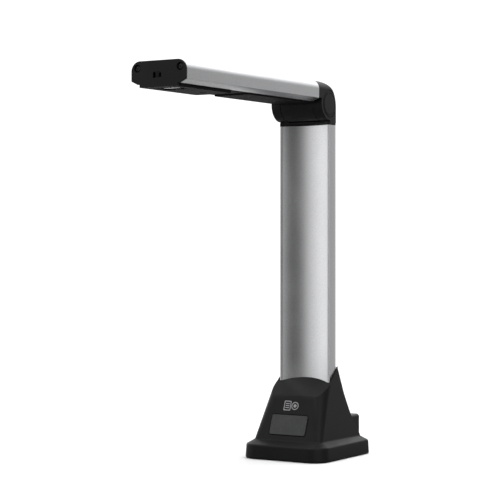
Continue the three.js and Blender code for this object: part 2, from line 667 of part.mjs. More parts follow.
const slideHousing = cut(
  box(slotMiddle - 6.4, slotMiddle + 6.4, ARM_FRONT + 0.1, -246, 353, 361.6),
  box(slotLeft - 0.2, slotRight + 0.2, -254, -248.5, slotLow + 0.6, slotHigh - 0.6),
);
addPart("switch_body", slideHousing, STEEL);
const switchKnob = box(slotMiddle - 1.6, slotMiddle + 1.6, -254, -249, slotLow + 0.8, slotHigh - 0.8);
addPart("switch_knob", switchKnob, BLACK);

// Underside plates
const lensWindow = roundedRect(-11.3, 11.3, LENS_Y - 7.8, LENS_Y + 7.8, 3);
const cameraPlateOutline = roundedRect(
  -PLATE_HALF_WIDTH, PLATE_HALF_WIDTH, ARM_FRONT + 0.1, CAMERA_PLATE_REAR, 0.3, 4);
let cameraPlate = prism(cameraPlateOutline, "z", PLATE_BOTTOM, WEB_BOTTOM);
cameraPlate = cut(
  cameraPlate,
  prism(roundedRect(-11.5, 11.5, LENS_Y - 8, LENS_Y + 8, 3.2), "z", 340, 348.5),
  prism(roundedRect(-10, 10, LENS_Y - 6.5, LENS_Y + 6.5, 2), "z", 340, 352),
  rod("z", 0, CAMERA_PLATE_SCREW_Y, 2.7, 340, 348, 16),
  rod("z", 0, CAMERA_PLATE_SCREW_Y, 1.3, 340, 352, 10),
);
addPart("camera_plate", cameraPlate, DARK);
addPart("lens_window", prism(lensWindow, "z", 347.3, 348.4), GLASS);
addPart("camera_plate_screw", screw("z", 0, CAMERA_PLATE_SCREW_Y, 347, 1, 2.5, 0.9, 1.1, 6), STEEL);

const rearPlateEnd = HINGE_Y - BARREL_RADIUS - 0.6;
let rearPlate = join(
  prism(roundedRect(-PLATE_HALF_WIDTH, PLATE_HALF_WIDTH, REAR_PLATE_FRONT, rearPlateEnd, 3, 0.3),
    "z", REAR_PLATE_BOTTOM, WEB_BOTTOM),
  box(-PLATE_HALF_WIDTH, PLATE_HALF_WIDTH, CAMERA_PLATE_REAR + 0.3, REAR_PLATE_FRONT + 11, 349.2, WEB_BOTTOM),
);
for (const y of REAR_PLATE_SCREW_YS) {
  rearPlate = cut(rearPlate, rod("z", 0, y, 2.7, 340, 348.9, 16), rod("z", 0, y, 1.3, 340, 352, 10));
}
addPart("rear_plate", rearPlate, DARK);
REAR_PLATE_SCREW_YS.forEach((y, i) => {
  addPart(`rear_plate_screw_${i + 1}`, screw("z", 0, y, 348, 1, 2.5, 0.8, 1.1, 5), STEEL);
});

// Camera module and lamps
let lampBoard = prism(roundedRect(-14, 14, LENS_Y - 10, LENS_Y + 10, 1), "z", 350.3, 351.5);
lampBoard = lampBoard.subtract(rod("z", 0, LENS_Y, 5.2, 340, 360, 24));
for (const x of [-9.2, 6.4]) {
  for (const y of [LENS_Y - 4.6, LENS_Y + 1.8]) {
    lampBoard = lampBoard.add(box(x, x + LAMP_SIZE, y, y + LAMP_SIZE, 349.4, 350.6));
  }
}
addPart("lamp_board", lampBoard, WHITE);

const lensBarrel = join(
  rod("z", 0, LENS_Y, 4.2, 348.9, 352.4, 24),
  rod("z", 0, LENS_Y, 5, 352, 355, 24),
  box(-6.5, 6.5, LENS_Y - 6.5, LENS_Y + 6.5, 354.5, 358),
).subtract(rod("z", 0, LENS_Y, 2.6, 348, 349.6, 20));
addPart("lens_barrel", lensBarrel, BLACK);

let cameraBoard = box(-17, 17, LENS_Y - 11, LENS_Y + 14, 358, 359.2);
cameraBoard = join(
  cameraBoard,
  box(-4, 4, LENS_Y - 4, LENS_Y + 4, 359, 360.4),
  box(-6, 6, LENS_Y + 8.5, LENS_Y + 13, 359, 361.5),
);
for (const x of [-14.5, 14.5]) {
  cameraBoard = join(
    cameraBoard,
    box(x - 1.4, x + 1.4, LENS_Y + 13, LENS_Y + 16, 358, 359.2),
    rod("z", x, LENS_Y + 15, 1.8, WEB_TOP, 359.2, 10),
  );
}
addPart("camera_board", cameraBoard, BOARD);
addPart("arm_cable", box(-3.2, 3.2, LENS_Y + 13.1, -12, 355.1, 355.9), BLACK);

export default model;
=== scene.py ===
"""Document camera: a folding camera arm on an aluminium mast with a weighted base.

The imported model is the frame. Pieces are built here in millimetres (MM converts them) in the
model's own frame: +Z is up, -Y is the front, and the origin lies on the table under the base.
"""
import json
import math

import bmesh
import bpy
from mathutils import Matrix, Vector


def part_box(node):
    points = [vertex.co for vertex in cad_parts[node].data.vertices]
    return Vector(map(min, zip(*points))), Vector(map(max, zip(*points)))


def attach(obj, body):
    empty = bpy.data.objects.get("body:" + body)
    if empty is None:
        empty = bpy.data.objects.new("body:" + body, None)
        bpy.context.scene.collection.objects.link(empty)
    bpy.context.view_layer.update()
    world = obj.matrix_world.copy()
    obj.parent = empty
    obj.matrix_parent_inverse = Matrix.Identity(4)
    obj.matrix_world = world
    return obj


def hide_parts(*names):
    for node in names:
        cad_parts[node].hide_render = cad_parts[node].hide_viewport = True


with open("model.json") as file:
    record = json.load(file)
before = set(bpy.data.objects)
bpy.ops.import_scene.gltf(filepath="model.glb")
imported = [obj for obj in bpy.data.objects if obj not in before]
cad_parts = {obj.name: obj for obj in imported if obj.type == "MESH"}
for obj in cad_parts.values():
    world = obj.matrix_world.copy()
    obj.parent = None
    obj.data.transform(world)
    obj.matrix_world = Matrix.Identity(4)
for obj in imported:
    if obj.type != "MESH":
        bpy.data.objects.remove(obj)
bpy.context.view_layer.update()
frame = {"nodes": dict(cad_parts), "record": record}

MM = 0.001


def extent(node):
    """The node's low and high corners in millimetres."""
    low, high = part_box(node)
    return [value / MM for value in low], [value / MM for value in high]


# ---------------------------------------------------------------- dimensions
# Cutters run out to these places, past every face.
FAR = 60
FAR_FRONT = -300
FAR_UP = 400

# Base: a skirt, a shoulder, a leaning front panel, and a sweep up to the mast at the rear.
BASE_LOW, BASE_HIGH = extent("base_shell")
SKIRT_TOP = 14.1
SKIRT_DRAFT = 0.6
SKIRT_FRONT_CORNER = 16
SKIRT_REAR_CORNER = 5
SHOULDER_Z = 18.5
BODY_TOP = 100
BODY_REAR_CORNER = 4
SHOULDER_HALF_WIDTH = 39.5
SHOULDER_FRONT = -39.1
SHOULDER_REAR = 43
PANEL_LEAN = 0.366
SIDE_LEAN = 0.145
FRONT_TAPER = 0.0005
CORNER_RADIUS = 6.4
CORNER_GROWTH = 0.16
# The panel ends at a crease, above which a bevel runs up between two wings beside the mast.
CREASE_Z = 60
CREASE_SOFTNESS = 3
BEVEL_TOP = (-3.4, 74.2)
WING_FOOT = (-0.5, 77.2)
WING_TIP = (13, 89.6)
WING_GAP = 1.2
SWEEP = [(11.6, 94), (14.2, 83), (16.4, 74), (19.4, 62), (23.8, 50), (26.4, 43.5), (32.6, 31), (41.6, 19.2)]
SHELL_WALL = 2.4
MAST_GAP = 0.25
HOUSING_GAP = 0.1
BADGE_Z = 33.5
BADGE_HALF_WIDTH = 20
BADGE_HALF_HEIGHT = 10
BADGE_CORNER = 2.1
BADGE_GAP = 0.7
BADGE_RECESS = 1.3
ICON_Z = 51.8
PORT_Z = 22.3
PORT_HALF_WIDTH = 4.7
PORT_HALF_HEIGHT = 1.8

# Mast: an extrusion with a hollow front face, two screw ports and a cable way.
MAST_LOW, MAST_HIGH = extent("mast_extrusion")
MAST_REAR_RADIUS = 8.5
MAST_WALL = 1.8
CHANNEL_HALF_WIDTH = 26
CHANNEL_DEPTH = 5.7
MAST_SCREW_XS = (-14, 14)
MAST_SCREW_Y = 10.9
CABLE_Y = 9.2

# Head and hinge: the knuckle's barrel turns between two ears of the head.
HINGE_Y = -2.6
HINGE_Z = 348
BARREL_RADIUS = 16.2
KNUCKLE_LOW, _ = extent("arm_knuckle")
KNUCKLE_HALF_WIDTH = 18.2
SLOT_RADIUS = 16.7
SLOT_HALF_WIDTH = 18.5
CABLE_SLOT_HALF_WIDTH = 3.6
CABLE_SLOT_Z = (353.6, 357.4)
HEAD_LOW, HEAD_HIGH = extent("mast_head")
COLLAR_TOP = MAST_HIGH[2] + 3
NECK_FRONT = -1.9
CROWN_UNDERSIDE = 352.8
EAR_TOP = 354
CROWN_DEPTH = 29
CROWN_HEIGHT = 26
CROWN_FULLNESS = 2.3
COVER_RADIUS = 13.1
COVER_THICKNESS = 2.3
SHAFT_RADIUS = 4.1
WASHER_RADIUS = 9.2

# Arm: an extrusion with a shallow trough underneath, closed by a cap and two plates.
ARM_LOW, ARM_HIGH = extent("arm_extrusion")
ARM_CORNER = 9
ARM_WALL = 1.8
ARM_SIDE_BOTTOM = 352.6
ARM_LIP_X = 22.5
ARM_LIP_Z = 349.5
TROUGH_HALF_WIDTH = 20.4
WEB_BOTTOM = 350.2
WEB_TOP = 351.8
CAP_LOW, _ = extent("front_cap")
CAP_STEP_HALF_WIDTH = 20.3
CAP_SCREW_XS = (-22.5, 22.5)
CAP_SCREW_Z = 363.6
CAP_SCREW_RADIUS = 1.5
SWITCH_SLOT_X = (-5.8, 2.9)
SWITCH_SLOT_Z = (354.7, 359.9)
LENS_Y = -233
CAMERA_PLATE_SCREW_Y = -185
REAR_PLATE_SCREW_YS = (-60, -110)
PLATE_SCREW_RADIUS = 1.3
PLATE_SCREW_SEAT_RADIUS = 2.7
UNDER_ARM = 340
PLATES_END = 352


# ---------------------------------------------------------------- outlines
def arc(cu, cv, radius, start, end, steps):
    angles = [math.radians(start + (end - start) * i / steps) for i in range(steps + 1)]
    return [(cu + radius * math.cos(a), cv + radius * math.sin(a)) for a in angles]


def circle(cu, cv, radius, steps):
    return arc(cu, cv, radius, 0, 360, steps)[:-1]


def rounded_rect(u0, u1, v0, v1, low, high=None, steps=10):
    """Rectangle whose low-v corners have the first radius and its high-v corners the second."""
    high = low if high is None else high
    return (
        arc(u0 + low, v0 + low, low, 180, 270, steps)
        + arc(u1 - low, v0 + low, low, 270, 360, steps)
        + arc(u1 - high, v1 - high, high, 0, 90, steps)
        + arc(u0 + high, v1 - high, high, 90, 180, steps)
    )


def mirrored(side, near, far):
    """The stretch from near to far on the side -1 or 1 of the middle, lower end first."""
    return sorted((side * near, side * far))


def plan(node, front_radius, rear_radius=None, steps=10, inset=0):
    """The node's rectangle seen from above, with rounded corners."""
    low, high = extent(node)
    return rounded_rect(low[0] + inset, high[0] - inset, low[1] + inset, high[1] - inset,
                        front_radius, rear_radius, steps)


def spline(points, steps):
    """Catmull-Rom curve through the points, with that many stretches between each two."""
    ends = [points[0]] + list(points) + [points[-1]]
    curve = []
    for i in range(len(points) - 1):
        a, b, c, d = (Vector(p) for p in ends[i:i + 4])
        for k in range(steps):
            t = k / steps
            point = 0.5 * (2 * b + (c - a) * t + (2 * a - 5 * b + 4 * c - d) * t * t
                           + (3 * b - a - 3 * c + d) * t ** 3)
            curve.append((point.x, point.y))
    return curve + [tuple(points[-1])]


# ---------------------------------------------------------------- meshes
def new_object(name, bm):
    bmesh.ops.recalc_face_normals(bm, faces=bm.faces)
    mesh = bpy.data.meshes.new(name)
    bm.to_mesh(mesh)
    bm.free()
    obj = bpy.data.objects.new(name, mesh)
    bpy.context.scene.collection.objects.link(obj)
    return obj


def loft(name, rings):
    """Closed skin through rings of points that all have the same count."""
    bm = bmesh.new()
    rows = [[bm.verts.new(Vector(p) * MM) for p in ring] for ring in rings]
    count = len(rows[0])
    for lower, upper in zip(rows, rows[1:]):
        for i in range(count):
            j = (i + 1) % count
            bm.faces.new((lower[i], lower[j], upper[j], upper[i]))
    bm.faces.new(rows[0])
    bm.faces.new(rows[-1])
    return new_object(name, bm)


def place(axis, u, v, w):
    """The point at w along the axis, with u and v on the other two in the order x, y, z."""
    return {"x": (w, u, v), "y": (u, w, v), "z": (u, v, w)}[axis]


def prism(outline, axis, start, end, name="tool"):
    """Along x the outline is (y, z), along y it is (x, z), along z it is (x, y)."""
    return loft(name, [[place(axis, u, v, w) for u, v in outline] for w in (start, end)])


def box(x0, x1, y0, y1, z0, z1, name="tool"):
    return prism([(x0, y0), (x1, y0), (x1, y1), (x0, y1)], "z", z0, z1, name)


def rod(axis, cu, cv, radius, start, end, steps=48, name="tool"):
    return prism(circle(cu, cv, radius, steps), axis, start, end, name)


def turned(name, axis, cu, cv, profile, steps=64):
    """Solid of revolution: the profile is (radius, place along the axis) from end to end."""
    rings = [[place(axis, u, v, w) for u, v in circle(cu, cv, r, steps)] for r, w in profile]
    return loft(name, rings)


def bake(obj):
    """Applies the object's modifiers to its mesh."""
    graph = bpy.context.evaluated_depsgraph_get()
    mesh = bpy.data.meshes.new_from_object(obj.evaluated_get(graph))
    obj.modifiers.clear()
    obj.data = mesh
    return obj


def combine(obj, operation, tools):
    """Cuts or joins with each tool in turn, and removes the tools."""
    for tool in tools:
        modifier = obj.modifiers.new("combine", "BOOLEAN")
        modifier.operation = operation
        modifier.solver = "EXACT"
        modifier.object = tool
    bake(obj)
    for tool in tools:
        bpy.data.objects.remove(tool)
    return obj


def cut(obj, *tools):
    return combine(obj, "DIFFERENCE", tools)


def join(obj, *tools):
    return combine(obj, "UNION", tools)


def tidy(obj, distance=0.02):
    """Merges stray points and flat neighbours that a cut leaves behind."""
    bm = bmesh.new()
    bm.from_mesh(obj.data)
    bmesh.ops.remove_doubles(bm, verts=bm.verts, dist=distance * MM)
    bmesh.ops.dissolve_degenerate(bm, edges=bm.edges, dist=distance * MM)
    bmesh.ops.dissolve_limit(
        bm, angle_limit=math.radians(0.4), verts=bm.verts, edges=bm.edges, delimit={"NORMAL"})
    bm.to_mesh(obj.data)
    bm.free()
    return obj


def ease(obj, width, segments=3, angle=30):
    """Rounds every edge sharper than the angle."""
    tidy(obj)
    modifier = obj.modifiers.new("edges", "BEVEL")
    modifier.width = width * MM
    modifier.segments = segments
    modifier.limit_method = "ANGLE"
    modifier.angle_limit = math.radians(angle)
    modifier.use_clamp_overlap = False
    modifier.miter_outer = "MITER_SHARP"
    return bake(obj)


def polish(obj, angle=32):
    """Smooth shading with crisp edges, and normals that keep flat faces flat."""
    for polygon in obj.data.polygons:
        polygon.use_smooth = True
    obj.data.set_sharp_from_angle(angle=math.radians(angle))
    modifier = obj.modifiers.new("normals", "WEIGHTED_NORMAL")
    modifier.keep_sharp = True
    return bake(obj)


def dress(obj, name, body, slot, material, *nodes):
    """Names a finished piece, gives it its material and ties it to its body and CAD nodes."""
    polish(obj)
    obj.name = name
    obj.data.materials.clear()
    obj.data.materials.append(material)
    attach(obj, body)
    if nodes:
        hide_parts(*nodes)
    return obj


# ---------------------------------------------------------------- material helpers
class Shader:
    """A material's node tree, with short calls for the nodes that the finishes share."""

    def __init__(self, name, color, roughness, metallic=0.0):
        self.material = bpy.data.materials.new(name)
        self.material.use_nodes = True
        self.nodes = self.material.node_tree.nodes
        self.links = self.material.node_tree.links
        self.principled = self.nodes["Principled BSDF"]
        self.set("Base Color", (*color, 1))
        self.set("Roughness", roughness)
        self.set("Metallic", metallic)
        self.coordinates = self.nodes.new("ShaderNodeTexCoord").outputs["Object"]

    def set(self, socket, value):
        self.principled.inputs[socket].default_value = value

    def stretched(self, scale):
        mapping = self.nodes.new("ShaderNodeMapping")
        mapping.inputs["Scale"].default_value = scale
        self.links.new(self.coordinates, mapping.inputs["Vector"])
        return mapping.outputs["Vector"]

    def noise(self, scale, detail=3.0, roughness=0.55, vector=None):
        node = self.nodes.new("ShaderNodeTexNoise")
        node.inputs["Scale"].default_value = scale
        node.inputs["Detail"].default_value = detail
        node.inputs["Roughness"].default_value = roughness
        self.links.new(vector or self.coordinates, node.inputs["Vector"])
        return node.outputs["Fac"]

    def cells(self, scale, feature="F1"):
        node = self.nodes.new("ShaderNodeTexVoronoi")
        node.feature = feature
        node.inputs["Scale"].default_value = scale
        self.links.new(self.coordinates, node.inputs["Vector"])
        return node.outputs["Distance"]

    def ramp(self, source, stops):
        node = self.nodes.new("ShaderNodeValToRGB")
        elements = node.color_ramp.elements
        while len(elements) < len(stops):
            elements.new(0.5)
        for element, (position, color) in zip(elements, stops):
            element.position = position
            element.color = (*color, 1)
        self.links.new(source, node.inputs["Fac"])
        return node.outputs["Color"]

    def spread(self, source, low, high, start=0.3, end=0.7):
        node = self.nodes.new("ShaderNodeMapRange")
        node.inputs["From Min"].default_value = start
        node.inputs["From Max"].default_value = end
        node.inputs["To Min"].default_value = low
        node.inputs["To Max"].default_value = high
        self.links.new(source, node.inputs["Value"])
        return node.outputs["Result"]

    def feed(self, socket, source):
        self.links.new(source, self.principled.inputs[socket])

    def bump(self, source, strength, height, under=None):
        node = self.nodes.new("ShaderNodeBump")
        node.inputs["Strength"].default_value = strength
        node.inputs["Distance"].default_value = height * MM
        self.links.new(source, node.inputs["Height"])
        if under is not None:
            self.links.new(under, node.inputs["Normal"])
        self.links.new(node.outputs["Normal"], self.principled.inputs["Normal"])
        return node.outputs["Normal"]


def scaled(color, factor):
    """A darker or lighter tone of the colour."""
    return tuple(channel * factor for channel in color)


def anodised_aluminium():
    """Bead-blasted and anodised: a fine grain, with faint cloudy changes in its roughness."""
    color = (0.74, 0.745, 0.755)
    shader = Shader("anodised_aluminium", color, 0.36, 1.0)
    grain = shader.noise(1200, 3)
    clouds = shader.noise(14, 4)
    shader.feed("Base Color", shader.ramp(grain, [(0.3, scaled(color, 0.88)), (0.7, scaled(color, 1.08))]))
    shader.feed("Roughness", shader.spread(clouds, 0.31, 0.38))
    shader.bump(grain, 0.35, 0.02)
    return shader.material


def moulded_plastic(name, color, roughness, gloss, grain_scale=1500, grain_depth=0.03):
    """Injection moulded, with the fine spark texture of its mould and a faint handling sheen."""
    shader = Shader(name, color, roughness)
    shader.set("Specular IOR Level", gloss)
    grain = shader.noise(grain_scale, 3, 0.6)
    clouds = shader.noise(22, 5)
    shader.feed("Base Color", shader.ramp(clouds, [(0.3, scaled(color, 0.85)), (0.7, scaled(color, 1.2))]))
    shader.feed("Roughness", shader.spread(clouds, roughness - 0.05, roughness + 0.07))
    pits = shader.bump(shader.cells(grain_scale * 0.7), 0.25, grain_depth)
    shader.bump(grain, 0.45, grain_depth, pits)
    return shader.material


def badge_grey():
    """Lacquered plate with a fine cross-brushed weave."""
    color = (0.031, 0.032, 0.0335)
    shader = Shader("badge_grey", color, 0.42)
    weave = shader.noise(1, 2, 0.5, shader.stretched((900, 260, 260)))
    shader.feed("Base Color", shader.ramp(weave, [(0.3, scaled(color, 0.75)), (0.7, scaled(color, 1.25))]))
    shader.feed("Roughness", shader.spread(shader.noise(60), 0.36, 0.5))
    shader.bump(weave, 0.3, 0.03)
    return shader.material


def printed_grey():
    """Matt pad-printed ink."""
    color = (0.36, 0.36, 0.37)
    shader = Shader("printed_grey", color, 0.5)
    specks = shader.noise(3000, 2)
    shader.feed("Base Color", shader.ramp(specks, [(0.3, scaled(color, 0.8)), (0.7, scaled(color, 1.1))]))
    shader.bump(specks, 0.2, 0.01)
    return shader.material


def rubber():
    """Studded, with some dust on it."""
    color = (0.012, 0.012, 0.012)
    shader = Shader("rubber", color, 0.85)
    studs = shader.cells(420)
    dust = shader.noise(90, 5)
    shader.feed("Base Color", shader.ramp(dust, [(0.35, color), (0.75, scaled(color, 2.4))]))
    shader.feed("Roughness", shader.spread(dust, 0.75, 0.95))
    shader.bump(studs, 0.6, 0.15)
    return shader.material


def steel(name="steel", color=(0.46, 0.47, 0.49), roughness=0.34):
    """Brushed and slightly stained."""
    shader = Shader(name, color, roughness, 1.0)
    brushed = shader.noise(1, 4, 0.6, shader.stretched((300, 300, 5200)))
    stains = shader.noise(60, 4)
    shader.feed("Base Color", shader.ramp(stains, [(0.3, scaled(color, 0.86)), (0.7, scaled(color, 1.08))]))
    shader.feed("Roughness", shader.spread(brushed, roughness - 0.06, roughness + 0.1))
    shader.bump(brushed, 0.2, 0.01)
    return shader.material


def circuit_board():
    """Green solder mask over copper traces."""
    shader = Shader("circuit_board", (0.02, 0.12, 0.05), 0.35)
    traces = shader.cells(330, "DISTANCE_TO_EDGE")
    mask = shader.ramp(traces, [(0.05, (0.035, 0.19, 0.075)), (0.14, (0.012, 0.085, 0.035))])
    shader.feed("Base Color", mask)
    shader.feed("Roughness", shader.spread(shader.noise(120), 0.28, 0.45))
    shader.bump(traces, 0.25, 0.03)
    return shader.material


def window_glass():
    """Clear pane with a grey tint that is painted shade, darkening what shows through it; coated against
    reflections.
    """
    # Painted shade: this grey tint dims the lens and lamp board seen through the pane.
    shader = Shader("window_glass", (0.52, 0.55, 0.56), 0.03)
    shader.set("Transmission Weight", 1.0)
    shader.set("IOR", 1.1)
    shader.feed("Roughness", shader.spread(shader.noise(160, 4), 0.02, 0.07))
    return shader.material


def washer_nylon():
    """Natural nylon, also used for the pale ceramic of the lamps."""
    color = (0.62, 0.6, 0.55)
    shader = Shader("washer_nylon", color, 0.45)
    clouds = shader.noise(220, 4)
    shader.feed("Base Color", shader.ramp(clouds, [(0.3, scaled(color, 0.88)), (0.7, scaled(color, 1.05))]))
    shader.bump(clouds, 0.15, 0.02)
    return shader.material


def cable_jacket():
    """Soft PVC with fine ribs across it."""
    color = (0.02, 0.02, 0.022)
    shader = Shader("cable_jacket", color, 0.55)
    ribs = shader.noise(1, 2, 0.5, shader.stretched((2200, 60, 60)))
    shader.feed("Base Color", shader.ramp(ribs, [(0.3, scaled(color, 0.8)), (0.7, scaled(color, 1.4))]))
    shader.bump(ribs, 0.4, 0.05)
    return shader.material


def lamp_phosphor():
    """The grainy yellow layer over a white lamp's chip."""
    shader = Shader("lamp_phosphor", (0.85, 0.66, 0.16), 0.4)
    grains = shader.noise(4200, 3)
    shader.feed("Base Color", shader.ramp(grains, [(0.3, (0.7, 0.5, 0.08)), (0.7, (0.92, 0.75, 0.25))]))
    shader.bump(grains, 0.3, 0.02)
    return shader.material


ALUMINIUM = anodised_aluminium()
PLASTIC = moulded_plastic("black_plastic", (0.0128, 0.0128, 0.0134), 0.36, 0.13)
SMOOTH_PLASTIC = moulded_plastic("smooth_black_plastic", (0.0145, 0.0145, 0.015), 0.36, 0.13, 2200, 0.015)
PLATE = moulded_plastic("plate_black", (0.016, 0.016, 0.017), 0.6, 0.02, 1900, 0.02)
BADGE = badge_grey()
PRINT = printed_grey()
RUBBER = rubber()
STEEL = steel()
BLACK_STEEL = steel("blackened_steel", (0.05, 0.05, 0.052), 0.4)
BOARD = circuit_board()
GLASS = window_glass()
NYLON = washer_nylon()
JACKET = cable_jacket()
PHOSPHOR = lamp_phosphor()

SLOT_MATERIALS = {
    "anodised_aluminium": ALUMINIUM,
    "black_plastic": PLASTIC,
    "plate_black": PLATE,
    "badge_grey": BADGE,
    "rubber": RUBBER,
    "steel": STEEL,
    "circuit_board": BOARD,
    "window_glass": GLASS,
    "washer_nylon": NYLON,
    "cable_jacket": JACKET,
}


# ---------------------------------------------------------------- base
def footprint(inset, shrink):
    """The skirt's outline, moved in by the inset and the shrink."""
    return rounded_rect(
        BASE_LOW[0] + inset + shrink, BASE_HIGH[0] - inset - shrink,
        BASE_LOW[1] + inset + shrink, BASE_HIGH[1] - inset - shrink,
        SKIRT_FRONT_CORNER - inset, SKIRT_REAR_CORNER - min(inset, 3), 12)


def body_outline(z, inset):
    """The body's outline above the shoulder: its front leans back and its sides lean in."""
    rise = z - SHOULDER_Z
    half = SHOULDER_HALF_WIDTH - SIDE_LEAN * rise - inset
    front = SHOULDER_FRONT + PANEL_LEAN * rise + inset
    rear = SHOULDER_REAR - inset
    rear_radius = BODY_REAR_CORNER - inset * 0.5
    radius = CORNER_RADIUS + CORNER_GROWTH * rise - inset * 0.8
    outline = (
        arc(radius - half, front + radius, radius, 180, 270, 12)
        + arc(half - radius, front + radius, radius, 270, 360, 12)
        + arc(half - rear_radius, rear - rear_radius, rear_radius, 0, 90, 12)
        + arc(rear_radius - half, rear - rear_radius, rear_radius, 90, 180, 12)
    )
    return [(x * (1 - FRONT_TAPER * (rear - y)), y) for x, y in outline]


def panel_y(z):
    """Where the leaning front panel is at that height."""
    return SHOULDER_FRONT + PANEL_LEAN * (z - SHOULDER_Z)


def brow():
    """Profile (y, z) of the cut over the front: up just off the panel, round, then up the bevel."""
    lean = Vector((PANEL_LEAN, 1)).normalized()
    crease = Vector((panel_y(CREASE_Z), CREASE_Z))
    start = crease - lean * CREASE_SOFTNESS
    end = crease + (Vector(BEVEL_TOP) - crease).normalized() * CREASE_SOFTNESS
    steps = 8
    run_in = 25
    nudge = 0.05
    curve = []
    for i in range(steps + 1):
        t = i / steps
        point = start * (1 - t) ** 2 + crease * 2 * t * (1 - t) + end * t ** 2
        curve.append((point.x, point.y))
    low = start - lean * run_in
    return [(low.x - nudge, low.y), (curve[0][0] - nudge, curve[0][1])] + curve[1:]


def shell_volume(inset, name):
    """The base's outer form, or its hollow when inset by the wall, which is open below."""
    floor = -2 if inset else BASE_LOW[2]
    sink = inset * 0.75
    levels = [
        (footprint(inset, 0), floor),
        (footprint(inset, SKIRT_DRAFT), SKIRT_TOP - sink),
        (body_outline(SHOULDER_Z, inset), SHOULDER_Z - sink),
        (body_outline(BODY_TOP, inset), BODY_TOP),
    ]
    body = loft(name, [[(x, y, z) for x, y in outline] for outline, z in levels])
    if not inset:
        ease(body, 1.1, 4, 40)
    overshoot = 10
    above = 200
    step = 0.1
    crease = Vector((panel_y(CREASE_Z), CREASE_Z))
    peak = Vector(WING_TIP) + (Vector(WING_TIP) - Vector(WING_FOOT)).normalized() * overshoot
    rise = (BEVEL_TOP[1] - crease.y) / (BEVEL_TOP[0] - crease.x)
    wing = [WING_FOOT, tuple(peak)]
    middle = [(y, BEVEL_TOP[1] + rise * (y - BEVEL_TOP[0])) for y, _ in wing]
    edge = CHANNEL_HALF_WIDTH + WING_GAP
    rings = []
    for x, climb in ((-FAR, wing), (-edge, wing), (step - edge, middle), (edge - step, middle),
                     (edge, wing), (FAR, wing)):
        profile = brow() + [BEVEL_TOP, *climb, (peak.x, above), (SHOULDER_FRONT - 20, above)]
        rings.append([(x, y, z - inset * 1.25) for y, z in profile])
    sweep = [(y - inset, z) for y, z in spline(SWEEP, 5)]
    behind = 80
    top = 130
    outside = [(behind, SWEEP[-1][1]), (behind, top), (sweep[0][0], top)]
    return cut(body, loft("front", rings), prism(sweep + outside, "x", -FAR, FAR))


def channel(y0, half, depth, steps):
    """Arc over the hollow in the mast's front, which is deepest in the middle."""
    radius = (half * half + depth * depth) / (2 * depth)
    swing = math.degrees(math.asin(half / radius))
    return arc(0, y0 + depth - radius, radius, 90 - swing, 90 + swing, steps)


def mast_outline(grow, lip=0.9):
    """The mast's section, larger all round by that much."""
    half = MAST_HIGH[0] + grow
    front = MAST_LOW[1] - grow
    rear = MAST_HIGH[1] + grow
    radius = MAST_REAR_RADIUS + grow
    return (
        channel(front, CHANNEL_HALF_WIDTH - grow, CHANNEL_DEPTH, 48)[::-1]
        + arc(half - lip, front + lip, lip, 270, 360, 4)
        + arc(half - radius, rear - radius, radius, 0, 90, 12)
        + arc(radius - half, rear - radius, radius, 90, 180, 12)
        + arc(lip - half, front + lip, lip, 180, 270, 4)
    )


def housing_outline(grow):
    """The port housing's section in x and z, larger all round by that much."""
    low, high = extent("port_housing")
    return rounded_rect(low[0] - grow, high[0] + grow, low[2] - grow, high[2] + grow, 1, 3, 8)


def on_panel(obj, height):
    """Moves a mesh made flat in x and y onto the leaning front panel, centred at that height."""
    length = math.hypot(PANEL_LEAN, 1)
    up = (0, PANEL_LEAN / length, 1 / length)
    out = (0, -1 / length, PANEL_LEAN / length)
    at = (0, panel_y(height) * MM, height * MM)
    obj.data.transform(Matrix([
        (1, up[0], out[0], at[0]),
        (0, up[1], out[1], at[1]),
        (0, up[2], out[2], at[2]),
        (0, 0, 0, 1),
    ]))
    return obj


def badge_outline(grow):
    """The badge's rectangle, larger all round by that much."""
    half = BADGE_HALF_WIDTH + grow
    rise = BADGE_HALF_HEIGHT + grow
    return rounded_rect(-half, half, -rise, rise, BADGE_CORNER + grow)


def build_base_shell():
    shell = shell_volume(0, "shell")
    slot_half = 28.65
    slot_bottom = 10
    slot_top = 120
    open_rear_z = 64
    cut(
        shell,
        prism(mast_outline(MAST_GAP), "z", slot_bottom, slot_top),
        box(-slot_half, slot_half, 12, 30, open_rear_z, slot_top),
        prism(housing_outline(HOUSING_GAP), "y", 26, FAR),
        on_panel(prism(badge_outline(BADGE_GAP), "z", -BADGE_RECESS, 3), BADGE_Z),
    )
    ease(shell, 0.3, 2, 40)
    cut(shell, shell_volume(SHELL_WALL, "hollow"))
    dress(shell, "shell_moulding", "base", "black_plastic", PLASTIC, "base_shell")


def build_badge():
    half_thickness = 0.6
    plate = prism(badge_outline(0), "z", -half_thickness, half_thickness)
    ease(plate, 0.25)
    dress(on_panel(plate, BADGE_Z), "blank_badge", "base", "badge_grey", BADGE, "badge_plate")


def build_icon():
    """Generic printed mark: a page with three lines beside a round lens."""
    low = -0.05
    high = 0.07
    ring_x = 3.4
    page = cut(
        prism(rounded_rect(-9, -1.2, -4.9, 4.9, 0.9, steps=5), "z", low, high),
        prism(rounded_rect(-8.1, -2.1, -4, 4, 0.4, steps=5), "z", low - 1, high + 1),
    )
    lines = [box(-7.2, -3, v, v + 0.9, low, high) for v in (-2.5, -0.45, 1.6)]
    ring = cut(rod("z", ring_x, 0, 4, low, high), rod("z", ring_x, 0, 3.1, low - 1, high + 1))
    icon = join(page, ring, rod("z", ring_x, 0, 1.7, low, high, 32), *lines)
    dress(on_panel(icon, ICON_Z), "generic_icon", "base", "badge_grey", PRINT)


